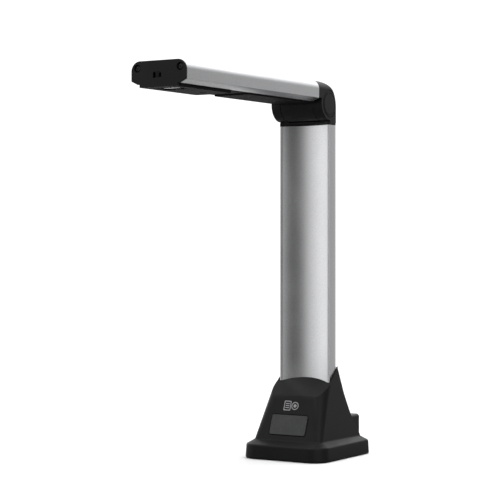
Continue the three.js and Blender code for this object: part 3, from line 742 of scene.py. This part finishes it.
def build_sole():
    """Sheet with two grooves round its underside."""
    low, high = extent("rubber_sole")
    corner = 13
    groove_width = 1
    groove_depth = 0.4
    sole = prism(plan("rubber_sole", corner, 2.4, 12), "z", low[2], high[2])
    grooves = []
    for inset in (5, 7.5):
        inner = inset + groove_width
        ring = prism(plan("rubber_sole", corner - inset, 2, inset=inset), "z", -1, groove_depth)
        core = prism(plan("rubber_sole", corner - inner, 1.5, inset=inner), "z", -2, 1)
        grooves.append(cut(ring, core))
    cut(sole, *grooves)
    dress(ease(sole, 0.15, 2), "anti_slip_sole", "base", "rubber", RUBBER, "rubber_sole")


def build_port_housing():
    low, high = extent("port_housing")
    port = rounded_rect(-PORT_HALF_WIDTH, PORT_HALF_WIDTH,
                        PORT_Z - PORT_HALF_HEIGHT, PORT_Z + PORT_HALF_HEIGHT, 1.75)
    housing = ease(prism(housing_outline(0), "y", low[1], high[1]), 0.8, 4)
    cut(
        housing,
        box(-31.3, 31.3, 20, 47.6, 10, 37.1),
        prism(port, "y", 45, 52),
    )
    dress(housing, "port_cover", "base", "black_plastic", PLASTIC, "port_housing")

    low, high = extent("usb_socket")
    wall = 0.3
    socket = prism(rounded_rect(low[0], high[0], low[2], high[2], 1.5), "y", low[1], high[1])
    mouth = rounded_rect(low[0] + wall, high[0] - wall, low[2] + wall, high[2] - wall, 1.25)
    cut(socket, prism(mouth, "y", low[1] + 1.5, high[1] + 1))
    dress(socket, "usb_socket_can", "base", "steel", STEEL, "usb_socket")
    half = 0.35
    tongue = ease(box(-3.35, 3.35, 42.5, high[1] - 0.8, PORT_Z - half, PORT_Z + half), 0.12, 2)
    dress(tongue, "usb_socket_tongue", "base", "black_plastic", SMOOTH_PLASTIC)
    pitch = 0.5
    contact_half = 0.14
    for i in range(12):
        x = -2.75 + pitch * i
        contact = box(x - contact_half, x + contact_half, 44, high[1] - 1.3, PORT_Z + 0.3, PORT_Z + 0.4)
        dress(ease(contact, 0.02, 1), f"usb_contact_{i + 1}", "base", "steel", STEEL)


# ---------------------------------------------------------------- mast and head
def build_mast():
    bore_radius = 1.5
    port_radius = 3.7
    mast = prism(mast_outline(0), "z", MAST_LOW[2], MAST_HIGH[2])
    half = MAST_HIGH[0] - MAST_WALL
    front = MAST_LOW[1] + MAST_WALL
    rear = MAST_HIGH[1] - MAST_WALL
    radius = MAST_REAR_RADIUS - MAST_WALL
    hollow = (
        channel(front, CHANNEL_HALF_WIDTH - 1, CHANNEL_DEPTH, 16)[::-1]
        + [(half, front)]
        + arc(half - radius, rear - radius, radius, 0, 90, 6)
        + arc(radius - half, rear - radius, radius, 90, 180, 6)
        + [(-half, front)]
    )
    cut(mast, prism(hollow, "z", 0, FAR_UP))
    for x in MAST_SCREW_XS:
        join(mast, rod("z", x, MAST_SCREW_Y, port_radius, MAST_LOW[2], MAST_HIGH[2], 24))
    cut(mast, *[rod("z", x, MAST_SCREW_Y, bore_radius, 0, FAR_UP, 16) for x in MAST_SCREW_XS])
    cable_window = box(-3, 3, 12, 20, 24, 36)
    cut(mast, cable_window)
    dress(mast, "mast_profile", "base", "anodised_aluminium", ALUMINIUM, "mast_extrusion")


def head_outline(z):
    """The head's outline, which rounds over towards its top as the crown does."""
    rise = max(0, z - (HEAD_HIGH[2] - ARM_CORNER))
    half = HEAD_HIGH[0] - ARM_CORNER + math.sqrt(max(0, ARM_CORNER ** 2 - rise ** 2))
    climb = min(1, max(0, (z - (HEAD_HIGH[2] - CROWN_HEIGHT)) / CROWN_HEIGHT))
    rear = MAST_HIGH[1] - CROWN_DEPTH * (1 - (1 - climb ** CROWN_FULLNESS) ** (1 / CROWN_FULLNESS))
    radius = MAST_REAR_RADIUS
    return (
        [(-half, HEAD_LOW[1]), (half, HEAD_LOW[1])]
        + arc(half - radius, rear - radius, radius, 0, 90, 14)
        + arc(radius - half, rear - radius, radius, 90, 180, 14)
    )


def build_head():
    """Collar on the mast, rear wall, crown and two ears, with keys that fit inside the mast."""
    crown_foot = HEAD_HIGH[2] - CROWN_HEIGHT
    steps = 28
    levels = [COLLAR_TOP - 1] + [
        crown_foot + CROWN_HEIGHT * math.sin(math.pi / 2 * i / steps) for i in range(steps + 1)]
    head = loft("head", [[(x, y, z) for x, y in head_outline(z)] for z in levels])
    below = 300
    throat = [
        (-FAR, below), (NECK_FRONT, below), (NECK_FRONT, 335),
        (HINGE_Y - 6, 345), (HINGE_Y - 8, CROWN_UNDERSIDE), (-FAR, CROWN_UNDERSIDE),
    ]
    cut(head, prism(throat, "x", -FAR, FAR))
    join(head, cut(
        rod("x", HINGE_Y, HINGE_Z, BARREL_RADIUS, HEAD_LOW[0], HEAD_HIGH[0], 96),
        box(-FAR, FAR, HINGE_Y + 2, FAR, below, FAR_UP),
        box(-FAR, FAR, -FAR, FAR, EAR_TOP, FAR_UP),
    ))
    slot = (-SLOT_HALF_WIDTH, SLOT_HALF_WIDTH)
    cut(
        head,
        rod("x", HINGE_Y, HINGE_Z, SLOT_RADIUS, *slot, 96),
        box(*slot, -FAR, HINGE_Y, COLLAR_TOP, HINGE_Z + SLOT_RADIUS),
    )
    ease(head, 0.45, 3, 35)
    join(head, prism(mast_outline(0), "z", MAST_HIGH[2], COLLAR_TOP))
    nut_radius = 9
    cable_bore_radius = 2.6
    screw_radius = 1.8
    screw_head_radius = 3.2
    screw_seat_z = 329.2
    recesses = []
    for side in (-1, 1):
        for radius, start, steps in (
            (COVER_RADIUS + 0.2, HEAD_HIGH[0] - COVER_THICKNESS, 64),
            (nut_radius, 22, 48),
            (SHAFT_RADIUS, 10, 48),
        ):
            recesses.append(rod("x", HINGE_Y, HINGE_Z, radius, *mirrored(side, start, 40), steps))
    cut(head, *recesses, rod("z", 0, CABLE_Y, cable_bore_radius, 310, 345, 24))
    for x in MAST_SCREW_XS:
        cut(
            head,
            rod("z", x, MAST_SCREW_Y, screw_head_radius, screw_seat_z, 347, 24),
            rod("z", x, MAST_SCREW_Y, screw_radius, 320, 340, 16),
        )
    key_top = MAST_HIGH[2] + 0.5
    for side in (-1, 1):
        join(
            head,
            box(*mirrored(side, 3.6, 9.8), 7, 13.8, HEAD_LOW[2], key_top),
            box(*mirrored(side, 18.2, 23.5), 3.5, 11, HEAD_LOW[2], key_top),
        )
    dress(head, "head_moulding", "base", "black_plastic", PLASTIC, "mast_head")


def build_hinge_covers():
    """Round covers with a ring groove near the edge."""
    rim = HEAD_HIGH[0]
    back = rim - COVER_THICKNESS + 0.05
    profile = [
        (0.01, back), (COVER_RADIUS, back),
        (COVER_RADIUS, rim - 1.1), (COVER_RADIUS - 0.3, rim - 0.5), (COVER_RADIUS - 0.9, rim - 0.15),
        (11.2, rim - 0.12), (11, rim - 0.6), (10.5, rim - 0.6), (10.3, rim - 0.12), (0.01, rim - 0.05),
    ]
    for name, side in (("left", -1), ("right", 1)):
        cover = turned("cover", "x", HINGE_Y, HINGE_Z, [(r, side * w) for r, w in profile], 96)
        dress(cover, f"hinge_cap_{name}", "base", "black_plastic", PLASTIC, f"hinge_cover_{name}")


# ---------------------------------------------------------------- arm
def arm_outer(bottom_half, bottom_z):
    """The arm's section (x, z), closed below by a step of that half width and height."""
    half = ARM_HIGH[0]
    top = ARM_HIGH[2]
    return (
        [(bottom_half, bottom_z), (bottom_half, ARM_LIP_Z), (ARM_LIP_X, ARM_LIP_Z)]
        + [(half, ARM_SIDE_BOTTOM)]
        + arc(half - ARM_CORNER, top - ARM_CORNER, ARM_CORNER, 0, 90, 18)
        + arc(ARM_CORNER - half, top - ARM_CORNER, ARM_CORNER, 90, 180, 18)
        + [(-half, ARM_SIDE_BOTTOM)]
        + [(-ARM_LIP_X, ARM_LIP_Z), (-bottom_half, ARM_LIP_Z), (-bottom_half, bottom_z)]
    )


def arm_hollow(gap):
    """The arm's hollow (x, z), smaller all round by the gap."""
    half = ARM_HIGH[0] - ARM_WALL - gap
    top = ARM_HIGH[2] - ARM_WALL - gap
    radius = ARM_CORNER - ARM_WALL
    edge = ARM_SIDE_BOTTOM + 1.9 + gap * 0.5
    return (
        [(ARM_LIP_X - 0.6, WEB_TOP + gap), (half, edge)]
        + arc(half - radius, top - radius, radius, 0, 90, 12)
        + arc(radius - half, top - radius, radius, 90, 180, 12)
        + [(-half, edge), (0.6 - ARM_LIP_X, WEB_TOP + gap)]
    )


def build_arm():
    front = ARM_LOW[1]
    rear = ARM_HIGH[1]
    port_radius = 3.7
    bore_radius = 1.25
    relief_radius = 4.4
    relief_depth = 2.6
    web = (345, 353)
    plate_screw_ys = (*REAR_PLATE_SCREW_YS, CAMERA_PLATE_SCREW_Y)
    arm = prism(arm_outer(TROUGH_HALF_WIDTH, WEB_BOTTOM - 0.01), "y", front, rear)
    cut(arm, box(-TROUGH_HALF_WIDTH, TROUGH_HALF_WIDTH, FAR_FRONT, 0, 340, WEB_BOTTOM))
    ease(arm, 0.3, 2)
    cut(arm, prism(arm_hollow(0), "y", FAR_FRONT, 0))
    for x in CAP_SCREW_XS:
        join(arm, rod("y", x, CAP_SCREW_Z, port_radius, front, rear, 24))
    cut(
        arm,
        *[rod("y", x, CAP_SCREW_Z, bore_radius, FAR_FRONT, 0, 16) for x in CAP_SCREW_XS],
        *[rod("y", x, CAP_SCREW_Z, relief_radius, FAR_FRONT, front + relief_depth, 24) for x in CAP_SCREW_XS],
        *[rod("z", 0, y, PLATE_SCREW_RADIUS, *web, 16) for y in plate_screw_ys],
        box(-16, 16, LENS_Y - 12, LENS_Y + 13, *web),
    )
    dress(arm, "arm_profile", "arm", "anodised_aluminium", ALUMINIUM, "arm_extrusion")


def build_knuckle():
    """Barrel with a neck to a plug that fits inside the arm's rear end."""
    gap = 0.3
    face = ARM_HIGH[1] + gap
    neck_top = 364
    plug_top = 366
    port_clearance = 4
    width = (-KNUCKLE_HALF_WIDTH, KNUCKLE_HALF_WIDTH)
    knuckle = rod("x", HINGE_Y, HINGE_Z, BARREL_RADIUS, *width, 96)
    join(knuckle, box(*width, face - 0.2, HINGE_Y, WEB_BOTTOM + 0.1, neck_top))
    ease(knuckle, 0.7, 3, 40)
    plug = prism(arm_hollow(gap), "y", KNUCKLE_LOW[1], face)
    join(knuckle, cut(plug, box(-FAR, FAR, -FAR, 0, plug_top, FAR_UP)))
    cut(knuckle, *[
        rod("y", x, CAP_SCREW_Z, port_clearance, -FAR, face + gap, 24) for x in CAP_SCREW_XS])
    cut(
        knuckle,
        rod("x", HINGE_Y, HINGE_Z, SHAFT_RADIUS, -40, 40),
        *[rod("x", HINGE_Y, HINGE_Z, WASHER_RADIUS, *mirrored(side, 17, 30)) for side in (1, -1)],
        box(-CABLE_SLOT_HALF_WIDTH, CABLE_SLOT_HALF_WIDTH, -FAR, 20, *CABLE_SLOT_Z),
    )
    dress(knuckle, "knuckle_moulding", "arm", "black_plastic", SMOOTH_PLASTIC, "arm_knuckle")


def build_front_cap():
    """End cap with two ribs and two screw cups that reach into the arm."""
    front = CAP_LOW[1]
    back = ARM_LOW[1]
    root = back - 0.5
    before = -260
    cup_radius = 4.1
    recess_radius = 3.5
    cap = ease(prism(arm_outer(CAP_STEP_HALF_WIDTH, CAP_LOW[2]), "y", front, back), 0.4, 4)
    for side in (-1, 1):
        join(cap, box(*mirrored(side, 12, 26), root, -246, 355.5, 359.3))
    for x in CAP_SCREW_XS:
        join(cap, rod("y", x, CAP_SCREW_Z, cup_radius, root, back + 2.4, 32))
    cut(
        cap,
        *[rod("y", x, CAP_SCREW_Z, recess_radius, before, back + 1.2) for x in CAP_SCREW_XS],
        *[rod("y", x, CAP_SCREW_Z, CAP_SCREW_RADIUS, before, -240, 24) for x in CAP_SCREW_XS],
        prism(rounded_rect(*SWITCH_SLOT_X, *SWITCH_SLOT_Z, 0.5, steps=5), "y", before, -250),
    )
    dress(cap, "end_cap", "arm", "black_plastic", PLASTIC, "front_cap")


def build_cap_screws():
    """Pan-head screws with a cross recess."""
    seat = ARM_LOW[1] + 1.15
    head = seat - 1.4
    reach = 1.75
    half = 0.32
    profile = [(0.01, head), (1.9, head + 0.06), (2.5, head + 0.3), (2.85, head + 0.75), (2.9, seat),
               (1.15, seat), (1.15, seat + 9.6), (0.3, seat + 11)]
    for name, x in zip(("left", "right"), CAP_SCREW_XS):
        screw = turned("screw", "y", x, CAP_SCREW_Z, profile, 48)
        for tilt in (20, 110):
            slot = box(-reach, reach, head - 0.5, head + 0.95, -half, half)
            turn = Matrix.Rotation(math.radians(tilt), 4, "Y")
            slot.data.transform(Matrix.Translation((x * MM, 0, CAP_SCREW_Z * MM)) @ turn)
            cut(screw, slot)
        dress(screw, f"end_screw_{name}", "arm", "steel", BLACK_STEEL, f"cap_screw_{name}")


def build_switch():
    """Slide knob with three grip grooves across its face."""
    low, high = extent("switch_knob")
    knob = box(low[0], high[0], low[1], high[1], low[2], high[2])
    middle = (low[0] + high[0]) / 2
    half = 0.16
    depth = 0.35
    cut(knob, *[
        box(middle + x - half, middle + x + half, low[1] - 1, low[1] + depth, low[2] - 1, high[2] + 1)
        for x in (-0.8, 0, 0.8)])
    dress(ease(knob, 0.1, 2), "slide_knob", "lamp_switch", "black_plastic", SMOOTH_PLASTIC, "switch_knob")


def lens_opening(half_width, half_length, corner, top):
    """Cutter round the lens, from below the arm up to that height."""
    outline = rounded_rect(-half_width, half_width, LENS_Y - half_length, LENS_Y + half_length, corner)
    return prism(outline, "z", UNDER_ARM, top)


def screw_hole(y, seat):
    """Cutters for a plate's screw: its head's seat and the hole through."""
    return (
        rod("z", 0, y, PLATE_SCREW_SEAT_RADIUS, UNDER_ARM, seat),
        rod("z", 0, y, PLATE_SCREW_RADIUS, UNDER_ARM, PLATES_END, 24),
    )


def build_camera_plate():
    low, high = extent("camera_plate")
    plate = prism(plan("camera_plate", 0.3, 4, 12), "z", low[2], high[2])
    ease(plate, 0.35, 3)
    cut(
        plate,
        lens_opening(11.5, 8, 3.2, 348.5),
        lens_opening(10, 6.5, 2, PLATES_END),
        *screw_hole(CAMERA_PLATE_SCREW_Y, 348),
    )
    dress(plate, "lens_plate", "arm", "plate_black", PLATE, "camera_plate")
    low, high = extent("lens_window")
    pane = prism(plan("lens_window", 3), "z", low[2], high[2])
    dress(ease(pane, 0.12, 2), "lens_pane", "arm", "window_glass", GLASS, "lens_window")


def build_rear_plate():
    """Plate whose thin front tongue passes above the camera plate."""
    low, high = extent("rear_plate")
    front = -137
    tongue_end = -126
    tongue_z = 349.2
    plate = prism(rounded_rect(low[0], high[0], front, high[1], 3, 0.3, 12), "z", low[2], high[2])
    ease(plate, 0.35, 3)
    join(plate, box(low[0], high[0], low[1], tongue_end, tongue_z, high[2]))
    for y in REAR_PLATE_SCREW_YS:
        cut(plate, *screw_hole(y, 348.9))
    dress(plate, "cable_plate", "arm", "plate_black", PLATE, "rear_plate")


def build_plate_screws():
    """Countersunk cross-head screws under the arm."""
    for node in ("camera_plate_screw", "rear_plate_screw_1", "rear_plate_screw_2"):
        low, high = extent(node)
        y = (low[1] + high[1]) / 2
        face = low[2]
        profile = [(0.01, face), (1.9, face + 0.05), (2.45, face + 0.3), (2.5, face + 0.8),
                   (1.1, face + 0.85), (1.1, high[2] - 0.8), (0.3, high[2])]
        screw = turned("screw", "z", 0, y, profile, 48)
        for reach, half in ((1.5, 0.28), (0.28, 1.5)):
            cut(screw, box(-reach, reach, y - half, y + half, face - 1, face + 0.55))
        dress(screw, f"{node}_turned", "arm", "steel", BLACK_STEEL, node)


def build_lens():
    """Lens barrel on its square mount, with a domed front lens."""
    low, high = extent("lens_barrel")
    foot = low[2]
    profile = [
        (0.01, foot + 1.1), (1.5, foot + 1), (1.55, foot + 0.7), (2.1, foot + 0.55), (2.2, foot + 0.3),
        (2.9, foot + 0.18), (3, foot), (4, foot), (4.2, foot + 0.2), (4.2, foot + 3.2), (5, foot + 3.3),
        (5, foot + 6), (0.01, foot + 6),
    ]
    barrel = turned("barrel", "z", 0, LENS_Y, profile, 64)
    half = 6.5
    mount = box(-half, half, LENS_Y - half, LENS_Y + half, foot + 5.6, high[2])
    join(barrel, ease(mount, 0.3, 2))
    dress(barrel, "lens_holder", "arm", "black_plastic", SMOOTH_PLASTIC, "lens_barrel")
    dome = [(0.01, foot + 0.45), (0.7, foot + 0.5), (1.2, foot + 0.65), (1.48, foot + 0.85),
            (1.48, foot + 0.98), (0.01, foot + 1.05)]
    lens = turned("lens", "z", 0, LENS_Y, dome, 48)
    dress(lens, "front_lens", "arm", "window_glass", GLASS)


def build_lamps():
    """Lamp board round the lens, with four lamps on its underside."""
    low, high = extent("lamp_board")
    face = low[2]
    board_z = 350.3
    size = 2.8
    board = prism(plan("lamp_board", 1), "z", board_z, high[2])
    cut(ease(board, 0.1, 2), rod("z", 0, LENS_Y, 5.2, UNDER_ARM, 360))
    dress(board, "lamp_board_blank", "arm", "washer_nylon", NYLON, "lamp_board")
    glow = [(0.01, face + 0.12), (0.8, face + 0.14), (1.12, face + 0.2), (1.12, face + 0.32),
            (0.01, face + 0.32)]
    spots = [(x, y) for x in (-9.2, 6.4) for y in (LENS_Y - 4.6, LENS_Y + 1.8)]
    for number, (x, y) in enumerate(spots, 1):
        centre = (x + size / 2, y + size / 2)
        package = ease(box(x, x + size, y, y + size, face, board_z + 0.05), 0.12, 2)
        cut(package, rod("z", *centre, 1.15, UNDER_ARM, face + 0.3, 32))
        dress(package, f"lamp_package_{number}", "arm", "washer_nylon", NYLON)
        chip = turned("chip", "z", *centre, glow, 32)
        dress(chip, f"lamp_chip_{number}", "arm", "washer_nylon", PHOSPHOR)


def finish_cad_nodes():
    """Gives every CAD node its slot's material, for the nodes that no piece stands for."""
    slots = {part["node"]: part["material_slot"] for part in frame["record"]["subparts"]}
    for name, obj in frame["nodes"].items():
        material = BLACK_STEEL if name == "switch_body" else SLOT_MATERIALS[slots[name]]
        obj.data.materials.clear()
        obj.data.materials.append(material)


# ---------------------------------------------------------------- staging
# Brightness of the studio's walls at four heights, each a list of (degrees round, value).
# The degrees run from -X through -Y, +X and +Y back to -X.
LOWER_LIGHT = [
    (0, 0.45), (55, 0.3), (80, 0.02), (100, 0.01), (150, 0.1), (215, 0.15), (245, 0.35), (285, 0.75),
    (315, 0.5), (360, 0.45),
]
HORIZON_LIGHT = [
    (0, 1.0), (24, 1.22), (50, 0.84), (74, 0.06), (84, 0.01), (97, 0.02), (108, 0.5), (150, 1.5),
    (176, 0.4), (200, 0.05), (224, 0.16), (252, 0.7), (275, 0.95), (300, 1.0), (360, 1.0),
]
UPPER_LIGHT = [
    (0, 0.8), (50, 1.05), (66, 1.0), (90, 0.15), (110, 0.55), (150, 1.8), (176, 0.4), (202, 0.02),
    (232, 0.2), (256, 1.9), (300, 1.8), (330, 0.9), (360, 0.8),
]
CEILING_LIGHT = [(0, 0.62), (180, 0.5), (360, 0.62)]
# Sines of the elevations between which one height gives way to the next.
TO_HORIZON = (-0.45, -0.12)
TO_UPPER = (0.12, 0.42)
TO_CEILING = (0.6, 0.85)
BACKDROP_STRENGTH = 1.2
FLOOR_RADIUS = 450


def world_light():
    """A studio with bright walls at the left, behind and at the front right, and dark ones between.

    The camera itself sees a plain white backdrop.
    """
    world = bpy.data.worlds.new("studio")
    bpy.context.scene.world = world
    world.use_nodes = True
    nodes = world.node_tree.nodes
    links = world.node_tree.links
    nodes.clear()
    direction = nodes.new("ShaderNodeTexCoord").outputs["Generated"]
    sweep = nodes.new("ShaderNodeTexGradient")
    sweep.gradient_type = "RADIAL"
    links.new(direction, sweep.inputs["Vector"])

    def band(stops):
        ramp = nodes.new("ShaderNodeValToRGB")
        ramp.color_ramp.interpolation = "EASE"
        elements = ramp.color_ramp.elements
        while len(elements) < len(stops):
            elements.new(0.5)
        for element, (degrees, value) in zip(elements, stops):
            element.position = degrees / 360
            element.color = (value, value, value, 1)
        links.new(sweep.outputs["Fac"], ramp.inputs["Fac"])
        return ramp.outputs["Color"]

    split = nodes.new("ShaderNodeSeparateXYZ")
    links.new(direction, split.inputs["Vector"])

    color_a, color_b, color_result = 6, 7, 2

    def blend(below, above, start, end):
        climb = nodes.new("ShaderNodeMapRange")
        climb.interpolation_type = "SMOOTHSTEP"
        climb.inputs["From Min"].default_value = start
        climb.inputs["From Max"].default_value = end
        links.new(split.outputs["Z"], climb.inputs["Value"])
        mix = nodes.new("ShaderNodeMix")
        mix.data_type = "RGBA"
        links.new(climb.outputs["Result"], mix.inputs["Factor"])
        links.new(below, mix.inputs[color_a])
        links.new(above, mix.inputs[color_b])
        return mix.outputs[color_result]

    walls = blend(band(LOWER_LIGHT), band(HORIZON_LIGHT), *TO_HORIZON)
    room = blend(blend(walls, band(UPPER_LIGHT), *TO_UPPER), band(CEILING_LIGHT), *TO_CEILING)
    lit = nodes.new("ShaderNodeBackground")
    links.new(room, lit.inputs["Color"])
    backdrop = nodes.new("ShaderNodeBackground")
    backdrop.inputs["Strength"].default_value = BACKDROP_STRENGTH
    backdrop.inputs["Color"].default_value = (1, 1, 1, 1)
    seen = nodes.new("ShaderNodeLightPath").outputs["Is Camera Ray"]
    choose = nodes.new("ShaderNodeMixShader")
    links.new(seen, choose.inputs["Fac"])
    links.new(lit.outputs["Background"], choose.inputs[1])
    links.new(backdrop.outputs["Background"], choose.inputs[2])
    output = nodes.new("ShaderNodeOutputWorld")
    links.new(choose.outputs["Shader"], output.inputs["Surface"])


def area_light(name, size, watts, location, target, glossy=True):
    """Square lamp aimed at the target, which reflections may be told to leave out."""
    data = bpy.data.lights.new(name, "AREA")
    data.shape = "SQUARE"
    data.size = size
    data.energy = watts
    lamp = bpy.data.objects.new(name, data)
    lamp.location = location
    lamp.visible_glossy = glossy
    aim = Vector(target) - Vector(location)
    lamp.rotation_euler = aim.to_track_quat("-Z", "Y").to_euler()
    bpy.context.scene.collection.objects.link(lamp)


def build_floor():
    """Pale disc, which sends less light back up onto the object than the camera sees."""
    bm = bmesh.new()
    bm.faces.new([bm.verts.new((x * MM, y * MM, 0)) for x, y in circle(0, -60, FLOOR_RADIUS, 96)])
    floor = new_object("floor", bm)
    shader = Shader("floor_paint", (0.93, 0.93, 0.93), 0.9)
    mottle = shader.noise(9, 3)
    shader.feed("Base Color", shader.ramp(mottle, [(0.2, (0.92, 0.92, 0.92)), (0.8, (0.95, 0.95, 0.95))]))
    shader.set("Specular IOR Level", 0.1)
    dim = shader.nodes.new("ShaderNodeBsdfDiffuse")
    dim.inputs["Color"].default_value = (0.2, 0.2, 0.2, 1)
    choose = shader.nodes.new("ShaderNodeMixShader")
    shader.links.new(shader.nodes.new("ShaderNodeLightPath").outputs["Is Camera Ray"], choose.inputs["Fac"])
    shader.links.new(dim.outputs["BSDF"], choose.inputs[1])
    shader.links.new(shader.principled.outputs["BSDF"], choose.inputs[2])
    shader.links.new(choose.outputs["Shader"], shader.nodes["Material Output"].inputs["Surface"])
    floor.data.materials.append(shader.material)


def build_camera_view():
    """A long lens at the height of the base, looking level from the object's front right."""
    data = bpy.data.cameras.new("camera")
    data.sensor_width = 36
    data.lens = 120.55
    data.shift_y = -0.0215
    data.clip_end = 20
    camera = bpy.data.objects.new("camera", data)
    camera.location = (0.83427, -1.43974, 0.21497)
    camera.rotation_euler = (math.radians(90), 0, math.radians(32))
    bpy.context.scene.collection.objects.link(camera)
    bpy.context.scene.camera = camera


bpy.context.scene.view_settings.view_transform = "Standard"
build_camera_view()
finish_cad_nodes()
build_base_shell()
build_badge()
build_icon()
build_sole()
build_port_housing()
build_mast()
build_head()
build_hinge_covers()
build_arm()
build_knuckle()
build_front_cap()
build_cap_screws()
build_switch()
build_camera_plate()
build_rear_plate()
build_plate_screws()
build_lens()
build_lamps()
build_floor()
world_light()
area_light("overhead", size=1.4, watts=26, location=(0.35, 0.5, 1.9), target=(0, 0, 0), glossy=False)
area_light("front", size=0.6, watts=6, location=(-0.07, -0.75, 1.5), target=(0, 0, 0.1))
